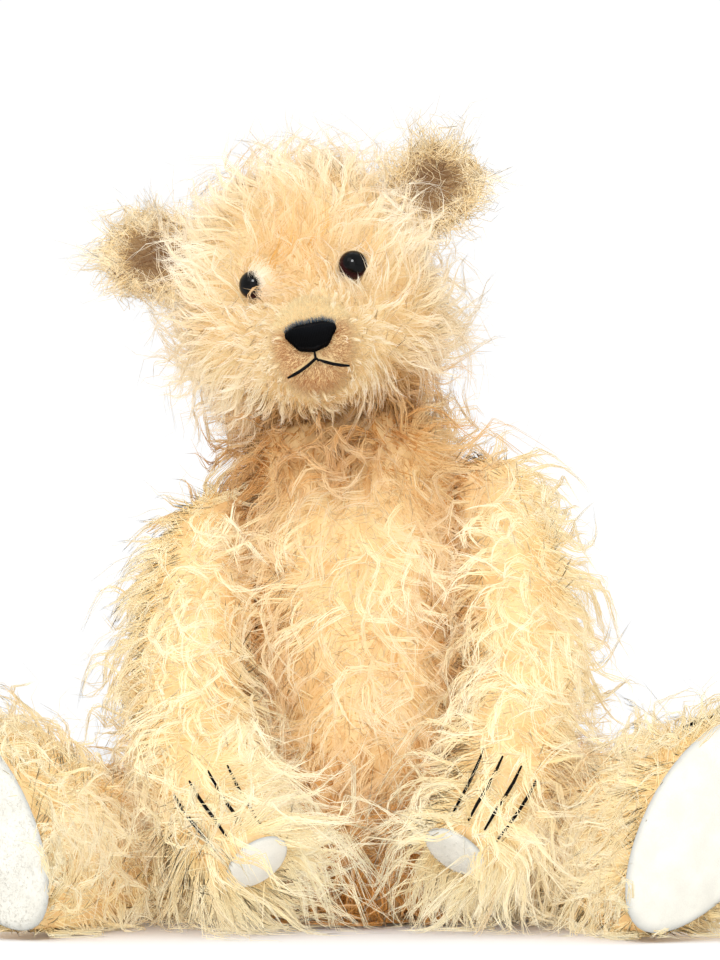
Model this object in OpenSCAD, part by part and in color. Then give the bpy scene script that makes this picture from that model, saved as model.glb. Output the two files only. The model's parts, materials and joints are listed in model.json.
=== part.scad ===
// Jointed mohair teddy bear, seated and leaning a little to its right.
// Five disc joints, each of two discs, two washers, a bolt and a lock nut, carry the head and the limbs.
// Frame: origin in the middle of the seat, +Z up, the bear faces -Y and its own left side is +X.
// The covers are drawn at the middle of their long pile, with the filling inside them.

/* [Torso] */
// Height of the neck joint above the seat
neck_height = 250; // [240:1:262]
// Width of the belly
belly_width = 116; // [110:1:124]
// Depth of the belly from front to back
belly_depth = 124; // [116:1:130]
// Width of the chest before the shoulder discs press it flat
chest_width = 115; // [113:1:120]
// Distance between the two shoulder joints
shoulder_span = 104; // [100:1:106]
// Distance of the shoulder joints below the neck joint
shoulder_drop = 57; // [51:1:62]
// Distance between the two hip joints
hip_span = 102; // [98:1:105]
// Height of the hip joints above the seat
hip_height = 42; // [39:1:45]
// Distance of the hip joints behind the middle of the seat
hip_set_back = 15; // [12:1:18]
// How far the neck sags to the bear's right
lean = 17; // [8:1:20]
// How far the left shoulder is raised and the right one lowered
shoulder_rise = 9; // [0:1:11]

/* [Head] */
// Width across the cheeks
head_width = 134; // [128:1:138]
// Height of the head before the neck disc presses it flat
head_height = 135; // [130:1:139]
// Depth from the back of the head to the nose
head_depth = 152; // [146:1:158]
// Width of the clipped muzzle at its tip
muzzle_width = 45; // [41:1:49]
// Height of the clipped muzzle at its tip
muzzle_height = 46; // [42:1:50]
// How far the muzzle lies below the middle of the head
muzzle_drop = 33; // [30:1:35]
// Sideways tilt of the neck joint
neck_tilt = 11; // [5:1:13]
// Turn of the head at rest, positive to the bear's left
head_turn = -3; // [-8:1:8]

/* [Ears] */
// Width of an ear along its seam
ear_width = 50; // [46:1:54]
// Reach of an ear from its seam to its rim
ear_reach = 48; // [44:1:52]
// Thickness of an ear
ear_thickness = 15; // [12:1:17]
// How far the rim of an ear is cupped forward
ear_cup = 9; // [4:1:11]
// How much lower round the head the right ear is sewn than the left
ear_slip = 6; // [0:1:8]

/* [Face] */
// Diameter of a glass eye
eye_dia = 13.6; // [12:0.2:15]
// Distance between the eyes
eye_spacing = 50; // [46:1:54]
// Height of the eyes above the neck joint
eye_height = 68; // [65:1:72]
// Width of the stitched nose
nose_width = 25; // [22:0.5:27]
// Height of the stitched nose
nose_height = 14.5; // [13:0.5:16]
// Raised thickness of the nose stitches
nose_relief = 3; // [2:0.2:4]
// Diameter of the mouth and claw thread
thread_dia = 1.6; // [1.3:0.1:2.2]

/* [Arms] */
// Length of an arm from the top of the shoulder to the tip of the paw
arm_length = 243; // [236:1:248]
// Thickness of the upper arm from front to back
arm_depth = 66; // [62:1:69]
// Thickness of the upper arm from side to side
arm_width = 58; // [54:1:61]
// Thickness of the paw from front to back
paw_depth = 57; // [53:1:60]
// How far the paw bends forward
paw_bend = 36; // [32:1:40]
// How far the paw comes back in from the widest part of the arm
paw_in = 15; // [12:1:18]
// Turn of the shoulder joints towards the front
shoulder_toe_in = 9; // [7:1:12]
// Swing of the left arm at rest, forward from straight down
left_arm_swing = 26; // [25:1:29]
// Swing of the right arm at rest, forward from straight down
right_arm_swing = 32; // [31:1:35]

/* [Legs] */
// Length of a leg from the hip joint to the sole
leg_length = 197; // [190:1:204]
// Height of the thigh
thigh_height = 83; // [80:1:86]
// Thickness of the thigh from side to side
thigh_width = 68; // [65:1:71]
// Length of the foot from heel to toe
foot_length = 130; // [124:1:134]
// Width of the foot
foot_width = 68; // [64:1:71]
// Height of the middle of the foot above the hip joint
foot_rise = 14; // [11:1:17]
// Outward twist of the foot against the thigh
foot_twist = 28; // [22:1:32]
// Splay of the left leg
left_splay = 21; // [19:1:25]
// Splay of the right leg
right_splay = 31; // [28:1:34]
// Outward roll of the legs, which tips the toes apart
leg_roll = 10; // [6:1:13]

/* [Pads] */
// Thickness of the felt pads
felt_thickness = 2.4; // [1.6:0.2:3]
// Length of a paw pad
paw_pad_length = 32; // [29:1:35]
// Width of a paw pad
paw_pad_width = 27; // [24:1:30]
// Length of a foot pad
foot_pad_length = 114; // [108:1:116]
// Width of a foot pad
foot_pad_width = 60; // [54:1:61]

/* [Joints] */
// Diameter of the neck discs
neck_disc_dia = 52; // [46:1:54]
// Diameter of the shoulder discs
shoulder_disc_dia = 38; // [34:1:40]
// Diameter of the hip discs
hip_disc_dia = 44; // [40:1:46]
// Thickness of a hardboard disc
disc_thickness = 3; // [2:0.2:4]
// Cover pinched between a disc and the face of the joint
cover_thickness = 3; // [2.4:0.2:4]
// Diameter of the joint bolts
bolt_dia = 6; // [5:0.5:6]
// Width of the bolt heads and nuts across their flats
hex_width = 10; // [9:0.5:11]
// Height of a bolt head
bolt_head = 4; // [3:0.5:5]
// Height of a lock nut
nut_height = 6; // [5:0.5:7]
// Diameter of a washer
washer_dia = 18; // [16:1:20]
// Thickness of a washer
washer_thickness = 1.2; // [1:0.2:1.6]
// Gap between the covers that turn on each other
joint_gap = 0.4; // [0.3:0.1:0.8]
// Clearance around the pieces inside the joints
play = 0.3; // [0.2:0.1:0.5]

/* [Hidden] */
JOINTS = ["neck", "left_shoulder", "right_shoulder", "left_hip", "right_hip"];
SET = ["limb_disc", "torso_disc", "bolt", "lock_nut", "washers"];
$fn = 48;
mohair = [0.93, 0.76, 0.5];
felt = [0.94, 0.92, 0.86];
floss = [0.05, 0.05, 0.05];
board = [0.45, 0.3, 0.18];
steel = [0.7, 0.7, 0.72];
shoulder_height = neck_height - shoulder_drop;
thread_r = thread_dia / 2;
bolt_r = bolt_dia / 2;
bore_r = bolt_r + play;
stack = joint_gap / 2 + cover_thickness;
disc_back = stack + disc_thickness;
washer_back = disc_back + play / 2 + washer_thickness;

// Placements
function shift(v) = [[1, 0, 0, v.x], [0, 1, 0, v.y], [0, 0, 1, v.z], [0, 0, 0, 1]];
function turn_x(a) = [[1, 0, 0, 0], [0, cos(a), -sin(a), 0], [0, sin(a), cos(a), 0], [0, 0, 0, 1]];
function turn_y(a) = [[cos(a), 0, sin(a), 0], [0, 1, 0, 0], [-sin(a), 0, cos(a), 0], [0, 0, 0, 1]];
function turn_z(a) = [[cos(a), -sin(a), 0, 0], [sin(a), cos(a), 0, 0], [0, 0, 1, 0], [0, 0, 0, 1]];
function side_flip(side) = [[side, 0, 0, 0], [0, 1, 0, 0], [0, 0, 1, 0], [0, 0, 0, 1]];
function at(m, p) = let (q = m * [p.x, p.y, p.z, 1]) [q.x, q.y, q.z];
function along(m, v) = let (q = m * [v.x, v.y, v.z, 0]) [q.x, q.y, q.z];
function handed(m) = cross(along(m, [1, 0, 0]), along(m, [0, 1, 0])) * along(m, [0, 0, 1]);
function axis_frame(p, a) = shift(p) * turn_z(atan2(a.y, a.x)) * turn_y(acos(a.z));

// The spine leans further the higher it is
function sag(z) = -lean * pow(max(z, 0) / neck_height, 3);

// Frames of the joints: +X points out of the torso along a limb's axis, +Z along the neck's
neck_frame = shift([sag(neck_height), 2, neck_height]) * turn_y(-neck_tilt) * turn_z(head_turn);
function shoulder_frame(side) =
  shift([sag(shoulder_height) + side * shoulder_span / 2, 2, shoulder_height + side * shoulder_rise])
  * side_flip(side) * turn_z(-shoulder_toe_in);
function arm_frame(side) =
  shoulder_frame(side) * turn_x(side > 0 ? -left_arm_swing : -right_arm_swing);
function leg_frame(side) =
  shift([side * hip_span / 2, hip_set_back, hip_height]) * side_flip(side)
  * turn_z(side > 0 ? left_splay : right_splay) * turn_y(leg_roll);

function joint_place(j) =
  j == "neck" ? at(neck_frame, [0, 0, 0])
  : j == "left_shoulder" ? at(shoulder_frame(1), [0, 0, 0])
  : j == "right_shoulder" ? at(shoulder_frame(-1), [0, 0, 0])
  : j == "left_hip" ? at(leg_frame(1), [0, 0, 0])
  : at(leg_frame(-1), [0, 0, 0]);
function joint_axis(j) =
  j == "neck" ? along(neck_frame, [0, 0, 1])
  : j == "left_shoulder" ? along(shoulder_frame(1), [1, 0, 0])
  : j == "right_shoulder" ? along(shoulder_frame(-1), [1, 0, 0])
  : j == "left_hip" ? along(leg_frame(1), [1, 0, 0])
  : along(leg_frame(-1), [1, 0, 0]);
function disc_r(j) =
  (j == "neck" ? neck_disc_dia : j == "left_hip" || j == "right_hip" ? hip_disc_dia : shoulder_disc_dia) / 2;

// A joint's face on the torso (way = 1) or on the limb (way = -1), as a plane that presses a cover flat
function joint_face(j, way) = [joint_place(j) - way * joint_gap / 2 * joint_axis(j), way * joint_axis(j)];
floor_face = [[0, 0, 0], [0, 0, -1]];

// A stuffed form is [length, first end's rounding, last end's rounding, keys, cup, jowl].
// Each key is [across, up, half width, half height, twist] and the keys are spread evenly over the length.
function key_at(keys, t) =
  let (
    n = len(keys) - 1,
    x = min(max(t, 0), 1) * n,
    i = min(floor(x), n - 1),
    f = x - i,
    a = keys[max(i - 1, 0)],
    b = keys[i],
    c = keys[i + 1],
    d = keys[min(i + 2, n)]
  )
  b + 0.5 * f * (c - a + f * (2 * a - 5 * b + 4 * c - d + f * (3 * b - a - 3 * c + d)));
function dome(s, e) = s >= e ? 1 : sqrt(max(0, 1 - pow((e - s) / e, 2)));
function form_point(form, s, angle) =
  let (
    k = key_at(form[3], s / form[0]),
    r = dome(s, form[1]) * dome(form[0] - s, form[2]),
    u = r * k[2] * cos(angle) * (1 - form[5] * sin(angle)),
    v = r * k[3] * sin(angle) - form[4] * r * pow(cos(angle), 2)
  )
  [k[0] + u * cos(k[4]) + v * sin(k[4]), k[1] - u * sin(k[4]) + v * cos(k[4]), s];
function press(p, faces, i = 0) =
  i == len(faces) ? p
  : press(p - max(0, (p - faces[i][0]) * faces[i][1]) * faces[i][1], faces, i + 1);

module stuffed(form, m, faces, rings, sides) {
  raw = concat(
    [[form_point(form, 0, 0).x, form_point(form, 0, 0).y, 0]],
    [
      for (i = [1 : rings])
        for (j = [0 : sides - 1])
          form_point(form, form[0] * (1 - cos(180 * i / (rings + 1))) / 2, 360 * j / sides)
    ],
    [[form_point(form, form[0], 0).x, form_point(form, form[0], 0).y, form[0]]]
  );
  points = [for (p = raw) press(at(m, p), faces)];
  last = rings * sides + 1;
  triangles = concat(
    [for (j = [0 : sides - 1]) [0, 1 + j, 1 + (j + 1) % sides]],
    [
      for (i = [0 : rings - 2])
        for (j = [0 : sides - 1])
          let (a = 1 + i * sides + j, b = 1 + i * sides + (j + 1) % sides)
            each [[a, a + sides, b + sides], [a, b + sides, b]]
    ],
    [for (j = [0 : sides - 1]) [last, last - sides + (j + 1) % sides, last - sides + j]]
  );
  polyhedron(points, handed(m) > 0 ? triangles : [for (t = triangles) [t[0], t[2], t[1]]]);
}

// A sewn thread along a row of points, with the direction that its cloth faces
module thread(row, up, sides = 6) {
  n = len(row) - 1;
  points = [
    for (i = [0 : n])
      let (
        way = row[min(i + 1, n)] - row[max(i - 1, 0)],
        u = cross(way, up) / norm(cross(way, up)),
        v = cross(u, way) / norm(way),
        r = i == 0 || i == n ? 0.6 * thread_r : thread_r
      )
      for (j = [0 : sides - 1])
        row[i] + r * (cos(360 * j / sides) * u + sin(360 * j / sides) * v)
  ];
  skin = [
    for (i = [0 : n - 1])
      for (j = [0 : sides - 1])
        let (a = i * sides + j, b = i * sides + (j + 1) % sides)
          each [[a, b + sides, a + sides], [a, b, b + sides]]
  ];
  ends = [[for (j = [sides - 1 : -1 : 0]) j], [for (j = [0 : sides - 1]) n * sides + j]];
  polyhedron(points, concat(skin, ends));
}

// Forms of the stuffed pieces
torso_low = -12;
torso_length = neck_height + 16 - torso_low;
function torso_key(t, y, w, d) = [sag(torso_low + t * torso_length), y, w / 2, d / 2, 0];
torso_form = [
  torso_length,
  32,
  28,
  [
    torso_key(0, -6, belly_width - 4, belly_depth - 10),
    torso_key(1 / 6, -6, belly_width, belly_depth - 2),
    torso_key(2 / 6, -6, belly_width, belly_depth),
    torso_key(3 / 6, -4, belly_width - 2, belly_depth - 4),
    torso_key(4 / 6, 1, chest_width, belly_depth - 14),
    torso_key(5 / 6, 4, chest_width - 5, belly_depth - 24),
    torso_key(1, 2, chest_width - 16, belly_depth - 38)
  ],
  0,
  0
];

head_back = 56;
head_low = -5;
head_mid = head_low + head_height / 2;
head_jowl = 0.1;
muzzle_mid = head_mid - muzzle_drop;
head_axes = neck_frame * [[1, 0, 0, 0], [0, 0, -1, head_back], [0, 1, 0, 0], [0, 0, 0, 1]];
head_form = [
  head_depth,
  52,
  15,
  [
    [0, head_mid, head_width / 2 - 5, head_height / 2 - 7, 0],
    [0, head_mid, head_width / 2 - 2, head_height / 2 - 3, 0],
    [0, head_mid, head_width / 2, head_height / 2, 0],
    [0, head_mid, head_width / 2, head_height / 2, 0],
    [0, head_mid - 2, head_width / 2 - 2, head_height / 2 - 2, 0],
    [0, head_mid - 7, head_width / 2 - 11, head_height / 2 - 12, 0],
    [0, muzzle_mid + 5, muzzle_width / 2 + 13, muzzle_height / 2 + 12, 0],
    [0, muzzle_mid + 1, muzzle_width / 2 + 3, muzzle_height / 2 + 2, 0],
    [0, muzzle_mid, muzzle_width / 2, muzzle_height / 2, 0]
  ],
  0,
  head_jowl
];
nose_flat = 3.5;
front_face = [at(head_axes, [0, 0, head_depth - nose_flat]), along(head_axes, [0, 0, 1])];
ear_at = 58;
ear_angle = 33;
ear_rise = 15;
ear_seat = 5;
function ear_frame(side) =
  let (p = form_point(head_form, ear_at, ear_angle - (side < 0 ? ear_slip : 0)))
  neck_frame * side_flip(side) * shift([p.x, head_back - ear_at, p.y]) * turn_y(90 - ear_rise);
ear_form = [
  ear_reach + 6,
  5,
  ear_reach * 0.55,
  [
    [0, 0, ear_width / 2 - 7, ear_thickness / 2, 0],
    [0, 0, ear_width / 2, ear_thickness / 2, 0],
    [0, -1, ear_width / 2, ear_thickness / 2 - 0.5, 0],
    [0, -2, ear_width / 2 - 2, ear_thickness / 2 - 1, 0]
  ],
  ear_cup,
  0
];
function ear_face(side, way) =
  [at(ear_frame(side), [0, 0, -ear_seat]), way * along(ear_frame(side), [0, 0, 1])];

arm_top = arm_depth / 2;
function arm_axes(side) = arm_frame(side) * [[1, 0, 0, 0], [0, 1, 0, 0], [0, 0, -1, arm_top], [0, 0, 0, 1]];
arm_in = arm_width / 2 - 5;
arm_bow = 11;
arm_slope = 9;
arm_form = [
  arm_length,
  arm_top * 0.75,
  paw_depth / 2,
  [
    [arm_in - arm_slope, 0, arm_width / 2 - arm_slope, arm_depth / 2 - 3, 0],
    [arm_in, 0, arm_width / 2, arm_depth / 2, 0],
    [arm_in + 0.7 * arm_bow, 0, arm_width / 2, arm_depth / 2 - 1, 0],
    [arm_in + arm_bow, -paw_bend / 12, arm_width / 2 - 1, paw_depth / 2 + 1, 0],
    [arm_in + arm_bow - paw_in * 0.4, -paw_bend * 0.4, arm_width / 2 - 3, paw_depth / 2, 0],
    [arm_in + arm_bow - paw_in, -paw_bend, arm_width / 2 - 4, paw_depth / 2, 0]
  ],
  0,
  0
];
palm_turn = 222;
palm_tip = 66;
palm_depth = 8;
palm_s = arm_length - paw_depth / 2 * (1 - sin(palm_tip));
function palm_frame(side) =
  arm_axes(side) * shift(form_point(arm_form, palm_s, palm_turn)) * turn_z(palm_turn) * turn_y(90 - palm_tip)
  * shift([0, 0, -palm_depth]);
function palm_face(side) = [at(palm_frame(side), [0, 0, 0]), along(palm_frame(side), [0, 0, 1])];

hip_back = thigh_height / 2;
sole_over = 9;
function leg_axes(side) = leg_frame(side) * [[1, 0, 0, 0], [0, 0, -1, hip_back], [0, 1, 0, 0], [0, 0, 0, 1]];
leg_in = thigh_width / 2 - 6;
foot_mid = foot_rise;
leg_form = [
  hip_back + leg_length + sole_over,
  hip_back,
  22,
  [
    [leg_in, 0, thigh_width / 2, thigh_height / 2, 0],
    [leg_in, 0, thigh_width / 2, thigh_height / 2, 0],
    [leg_in + 1, -1, thigh_width / 2 - 1, thigh_height / 2 - 2, 4],
    [leg_in + 1, 0, foot_width / 2 + 1, thigh_height / 2 - 4, 12],
    [leg_in + 1, foot_mid - 6, foot_width / 2, foot_length / 2 - 8, foot_twist - 4],
    [leg_in + 1, foot_mid, foot_width / 2, foot_length / 2, foot_twist]
  ],
  0,
  -0.1
];
function sole_frame(side) =
  leg_frame(side) * shift([leg_in + 1, -leg_length, foot_mid]) * turn_x(90) * turn_z(-foot_twist)
  * shift([0, 2, 0]);
function sole_face(side) = [at(sole_frame(side), [0, 0, 0]), along(sole_frame(side), [0, 0, 1])];

// Depth at which the face of the head lies behind a point seen from the front
function face_s(x, z, jowl = 0, lo = head_depth * 0.46, hi = head_depth, n = 24) =
  let (
    mid = (lo + hi) / 2,
    k = key_at(head_form[3], mid / head_depth),
    r = dome(head_depth - mid, head_form[2]),
    v = (z - k[1]) / (k[3] * r),
    u = x / (k[2] * r * (1 - jowl * min(max(v, -1), 1))),
    inside = u * u + v * v < 1
  )
  n == 0 ? mid : face_s(x, z, jowl, inside ? mid : lo, inside ? hi : mid, n - 1);
eye_r = eye_dia / 2;
loop_r = 2.2;
wire_r = 0.6;
function eye_frame(side) =
  neck_frame * shift([side * eye_spacing / 2, head_back - face_s(eye_spacing / 2, eye_height), eye_height])
  * turn_z(side * 24) * turn_x(70);

// The hollow that a joint's pieces fill, along +Z from the face of the joint
module joint_hollow(r) {
  rotate_extrude()
    polygon([
      [0, -1],
      [bore_r, -1],
      [bore_r, stack],
      [r + play, stack],
      [r + play, disc_back + play / 2],
      [washer_dia / 2 + play, disc_back + play / 2],
      [washer_dia / 2 + play, washer_back + max(bolt_head, nut_height + 2) + play],
      [0, washer_back + max(bolt_head, nut_height + 2) + play]
    ]);
}

module in_limb(j) {
  multmatrix(axis_frame(joint_place(j), joint_axis(j)))
    children();
}

module in_torso(j) {
  multmatrix(axis_frame(joint_place(j), -joint_axis(j)))
    children();
}

module torso() {
  color(mohair)
    difference() {
      stuffed(
        torso_form,
        shift([0, 0, torso_low]),
        concat([floor_face], [for (j = JOINTS) joint_face(j, 1)]),
        18,
        28
      );
      for (j = JOINTS)
        in_torso(j)
          joint_hollow(disc_r(j));
    }
}

module head() {
  faces = [joint_face("neck", -1), front_face, ear_face(1, 1), ear_face(-1, 1)];
  color(mohair)
    difference() {
      stuffed(head_form, head_axes, faces, 22, 28);
      in_limb("neck")
        joint_hollow(disc_r("neck"));
      for (side = [-1, 1])
        multmatrix(eye_frame(side)) {
          sphere(eye_r + play / 3);
          translate([0, 0, -eye_r - 2 * loop_r - 1])
            cylinder(h = eye_r + 2 * loop_r, r = loop_r + wire_r + play);
        }
    }
}

module ear(side) {
  color(mohair)
    stuffed(ear_form, ear_frame(side) * shift([0, 0, -6]), [ear_face(side, -1)], 9, 20);
}

module eye(side) {
  color(floss)
    multmatrix(eye_frame(side)) {
      sphere(eye_r);
      translate([0, 0, -eye_r - loop_r + 2 * wire_r])
        rotate([90, 0, 0])
          rotate_extrude()
            translate([loop_r, 0])
              circle(wire_r);
    }
}

module nose() {
  drop = 3;
  color(floss)
    multmatrix(head_axes * shift([0, muzzle_mid + drop, head_depth - nose_flat]))
      hull() {
        nose_outline(0.1, 0);
        nose_outline(nose_relief, 1.6);
      }
}

module nose_outline(h, inset) {
  linear_extrude(h)
    offset(r = 2.5 - inset / 2, $fn = 24)
      polygon([
        [-nose_width / 2 + 2.5 + inset / 2, nose_height / 2 - 4],
        [-nose_width / 4, nose_height / 2 - 2.5 - inset / 2],
        [nose_width / 4, nose_height / 2 - 2.5 - inset / 2],
        [nose_width / 2 - 2.5 - inset / 2, nose_height / 2 - 4],
        [nose_width * 0.22, -nose_height * 0.2 + inset / 2],
        [0, -nose_height / 2 + 3 + inset / 2],
        [-nose_width * 0.22, -nose_height * 0.2 + inset / 2]
      ]);
}

// A point of the mouth on the face of the muzzle, across and up from the middle of the muzzle's tip
function mouth_point(x, y) =
  [x, muzzle_mid + y, min(head_depth - nose_flat, face_s(x, muzzle_mid + y, head_jowl)) + thread_r * 0.35];

module mouth() {
  root = -nose_height / 2 + 2.2;
  fork = root - 1.8;
  color(floss)
    multmatrix(head_axes)
      for (side = [-1, 1])
        thread(concat(
          side < 0 ? [mouth_point(0, root + 2), mouth_point(0, fork)] : [mouth_point(1.3, fork - 0.8)],
          [for (p = [[4, 2.4], [8, 4.3], [12, 5.6], [15, 6.2]]) mouth_point(side * p.x, fork - p.y)]
        ), [0, 0, 1]);
}

module arm(side) {
  j = side > 0 ? "left_shoulder" : "right_shoulder";
  color(mohair)
    difference() {
      stuffed(arm_form, arm_axes(side), [joint_face(j, -1), palm_face(side)], 17, 22);
      in_limb(j)
        joint_hollow(disc_r(j));
    }
}

module oval(long, wide, grow) {
  polygon([
    for (a = [0 : 7.5 : 359])
      [wide / 2 * cos(a) * (1 + grow * sin(a)), long / 2 * sin(a)]
  ]);
}

module paw_pad(side) {
  color(felt)
    multmatrix(palm_frame(side))
      rotate([0, 0, 90])
        linear_extrude(felt_thickness)
          oval(paw_pad_length, paw_pad_width, 0);
}

module paw_claws(side) {
  color(floss)
    for (i = [0 : 3]) {
      start = arm_length - 62 + 4 * i;
      row = [
        for (s = [0 : 1 / 4 : 1])
          at(arm_axes(side), form_point(arm_form, start + 40 * s, 256 + 22 * i - 10 * s))
      ];
      thread(row, row[2] - at(arm_axes(side), [arm_in, -paw_bend / 2, start + 20]));
    }
}

module leg(side) {
  j = side > 0 ? "left_hip" : "right_hip";
  color(mohair)
    difference() {
      stuffed(leg_form, leg_axes(side), [joint_face(j, -1), sole_face(side), floor_face], 18, 24);
      in_limb(j)
        joint_hollow(disc_r(j));
    }
}

module foot_pad(side) {
  color(felt)
    multmatrix(sole_frame(side))
      linear_extrude(felt_thickness)
        oval(foot_pad_length, foot_pad_width, 0.12);
}

module foot_claws(side) {
  color(floss)
    for (a = [54, 78, 102, 126]) {
      row = [
        for (s = [0 : 1 / 4 : 1])
          at(leg_axes(side), form_point(leg_form, hip_back + leg_length - 36 + 24 * s, a))
      ];
      thread(row, row[2] - at(leg_axes(side), [leg_in, foot_mid, hip_back + leg_length - 24]));
    }
}

module disc(r) {
  color(board)
    rotate_extrude()
      polygon([
        [bore_r, stack],
        [r - 0.6, stack],
        [r, stack + 0.6],
        [r, disc_back - 0.6],
        [r - 0.6, disc_back],
        [bore_r, disc_back]
      ]);
}

module washer() {
  translate([0, 0, disc_back + play / 2])
    difference() {
      cylinder(h = washer_thickness, r = washer_dia / 2);
      translate([0, 0, -1])
        cylinder(h = washer_thickness + 2, r = bore_r);
    }
}

module hexagon(h) {
  cylinder(h = h, r = hex_width / 2 / cos(30), $fn = 6);
}

module bolt(j) {
  color(steel)
    in_limb(j) {
      translate([0, 0, -washer_back - nut_height - 1.5])
        cylinder(h = 2 * washer_back + nut_height + 2, r = bolt_r);
      translate([0, 0, washer_back])
        hexagon(bolt_head);
    }
}

module lock_nut(j) {
  color(steel)
    in_torso(j)
      translate([0, 0, washer_back])
        difference() {
          union() {
            hexagon(nut_height - 1.6);
            cylinder(h = nut_height, r = hex_width / 2 - 0.4);
          }
          translate([0, 0, -1])
            cylinder(h = nut_height + 2, r = bolt_r + 0.05);
        }
}

module washers(j) {
  color(steel) {
    in_limb(j)
      washer();
    in_torso(j)
      washer();
  }
}

torso();
head();
ear(1);  // left_ear
ear(-1);  // right_ear
eye(1);  // left_eye
eye(-1);  // right_eye
nose();
mouth();
arm(1);  // left_arm
arm(-1);  // right_arm
paw_pad(1);  // left_paw_pad
paw_pad(-1);  // right_paw_pad
paw_claws(1);  // left_paw_claws
paw_claws(-1);  // right_paw_claws
leg(1);  // left_leg
leg(-1);  // right_leg
foot_pad(1);  // left_foot_pad
foot_pad(-1);  // right_foot_pad
foot_claws(1);  // left_foot_claws
foot_claws(-1);  // right_foot_claws
for (j = JOINTS) {
  in_limb(j) disc(disc_r(j));
  in_torso(j) disc(disc_r(j));
  bolt(j);
  lock_nut(j);
  washers(j);
}
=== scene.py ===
import json
import math

import bmesh
import bpy
import numpy as np
from mathutils import Matrix, Vector
from mathutils.bvhtree import BVHTree
from mathutils.kdtree import KDTree


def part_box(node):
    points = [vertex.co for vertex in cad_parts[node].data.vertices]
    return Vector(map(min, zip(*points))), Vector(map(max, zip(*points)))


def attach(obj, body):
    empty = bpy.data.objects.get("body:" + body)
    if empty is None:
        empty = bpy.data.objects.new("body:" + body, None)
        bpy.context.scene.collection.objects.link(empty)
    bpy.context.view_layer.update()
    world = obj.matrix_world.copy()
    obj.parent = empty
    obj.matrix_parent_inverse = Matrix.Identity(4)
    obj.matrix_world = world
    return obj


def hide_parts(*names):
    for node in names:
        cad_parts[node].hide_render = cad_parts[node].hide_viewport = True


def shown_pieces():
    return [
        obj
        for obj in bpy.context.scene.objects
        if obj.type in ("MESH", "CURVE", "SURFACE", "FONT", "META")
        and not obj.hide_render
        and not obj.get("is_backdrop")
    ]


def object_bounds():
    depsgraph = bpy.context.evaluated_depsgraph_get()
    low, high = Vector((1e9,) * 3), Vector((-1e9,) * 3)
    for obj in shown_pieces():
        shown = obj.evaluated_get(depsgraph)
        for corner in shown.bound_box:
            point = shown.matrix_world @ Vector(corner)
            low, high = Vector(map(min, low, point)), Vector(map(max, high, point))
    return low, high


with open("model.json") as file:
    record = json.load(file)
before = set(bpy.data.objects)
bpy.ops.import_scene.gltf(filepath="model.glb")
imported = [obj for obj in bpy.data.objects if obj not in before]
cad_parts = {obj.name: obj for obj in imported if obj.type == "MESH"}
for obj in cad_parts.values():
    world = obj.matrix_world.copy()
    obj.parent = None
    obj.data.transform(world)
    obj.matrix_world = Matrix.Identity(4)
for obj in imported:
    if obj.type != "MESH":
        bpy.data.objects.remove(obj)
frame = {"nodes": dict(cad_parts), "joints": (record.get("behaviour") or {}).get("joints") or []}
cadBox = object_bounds()
nodes = frame["nodes"]
jointAt = {j["name"]: Vector(j["pos_m"]) for j in frame["joints"]}
bothSides = ("left", "right")
bodyNames = ["torso", "head", "left_arm", "right_arm", "left_leg", "right_leg"]
earNames = ["left_ear", "right_ear"]
padNames = [n for n in nodes if n.endswith("_pad")]
rng = np.random.default_rng(20)
print("frame loaded,", len(nodes), "nodes")


# colours, node groups and finishes
def shade(code):  # sRGB hex to the linear colour that a socket takes
    parts = [int(code[i:i + 2], 16) / 255 for i in (1, 3, 5)]
    return [c / 12.92 if c <= 0.04045 else ((c + 0.055) / 1.055) ** 2.4 for c in parts] + [1]


def newGroup(name, inputs, outputs):
    tree = bpy.data.node_groups.new(name, "ShaderNodeTree")
    for label, kind, value in inputs:
        socket = tree.interface.new_socket(label, in_out="INPUT", socket_type=kind)
        socket.default_value = value
    for label, kind in outputs:
        tree.interface.new_socket(label, in_out="OUTPUT", socket_type=kind)
    return tree, tree.nodes.new("NodeGroupInput"), tree.nodes.new("NodeGroupOutput")


def addNode(tree, kind, inputs=None, **settings):
    node = tree.nodes.new(kind)
    for key, value in settings.items():
        setattr(node, key, value)
    for key, value in (inputs or {}).items():
        node.inputs[key].default_value = value
    return node


def mixColours(tree, factor, a, b, blend="MIX"):
    mix = addNode(tree, "ShaderNodeMix", data_type="RGBA", blend_type=blend)
    pairs = ((mix.inputs[0], factor), (mix.inputs[6], a), (mix.inputs[7], b))  # 6 and 7 are the colours
    for socket, source in pairs:
        if isinstance(source, (int, float, list)):
            socket.default_value = source
        else:
            tree.links.new(source, socket)
    return mix.outputs[2]


def spread(tree, value, low, high):
    node = addNode(tree, "ShaderNodeMapRange", {1: low, 2: high}, interpolation_type="SMOOTHSTEP")
    tree.links.new(value, node.inputs[0])
    return node.outputs[0]


def mapParts(tree, uvMap):  # across and along a piece's own map
    uv = addNode(tree, "ShaderNodeUVMap", uv_map=uvMap)
    split = addNode(tree, "ShaderNodeSeparateXYZ")
    tree.links.new(uv.outputs[0], split.inputs[0])
    return split.outputs[0], split.outputs[1]


pileBlend = {"lower": (0.0, 0.5), "upper": (0.45, 1.0)}  # where along a fibre its colours meet


def makePileShade():  # root to tip along a fibre, deep to light from lock to lock
    names = ("Root", "Middle", "Tip", "Deep", "Light")
    colours = [(n, "NodeSocketColor", (1, 1, 1, 1)) for n in names]
    tree, given, out = newGroup("pileShade", colours, [("Colour", "NodeSocketColor")])
    root, middle, tip, deep, light = (given.outputs[n] for n in names)
    across, along = mapParts(tree, "OFBake")
    lower = mixColours(tree, spread(tree, along, *pileBlend["lower"]), root, middle)
    whole = mixColours(tree, spread(tree, along, *pileBlend["upper"]), lower, tip)
    tint = mixColours(tree, across, deep, light)
    tree.links.new(mixColours(tree, 1.0, whole, tint, "MULTIPLY"), out.inputs[0])
    return tree


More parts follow.
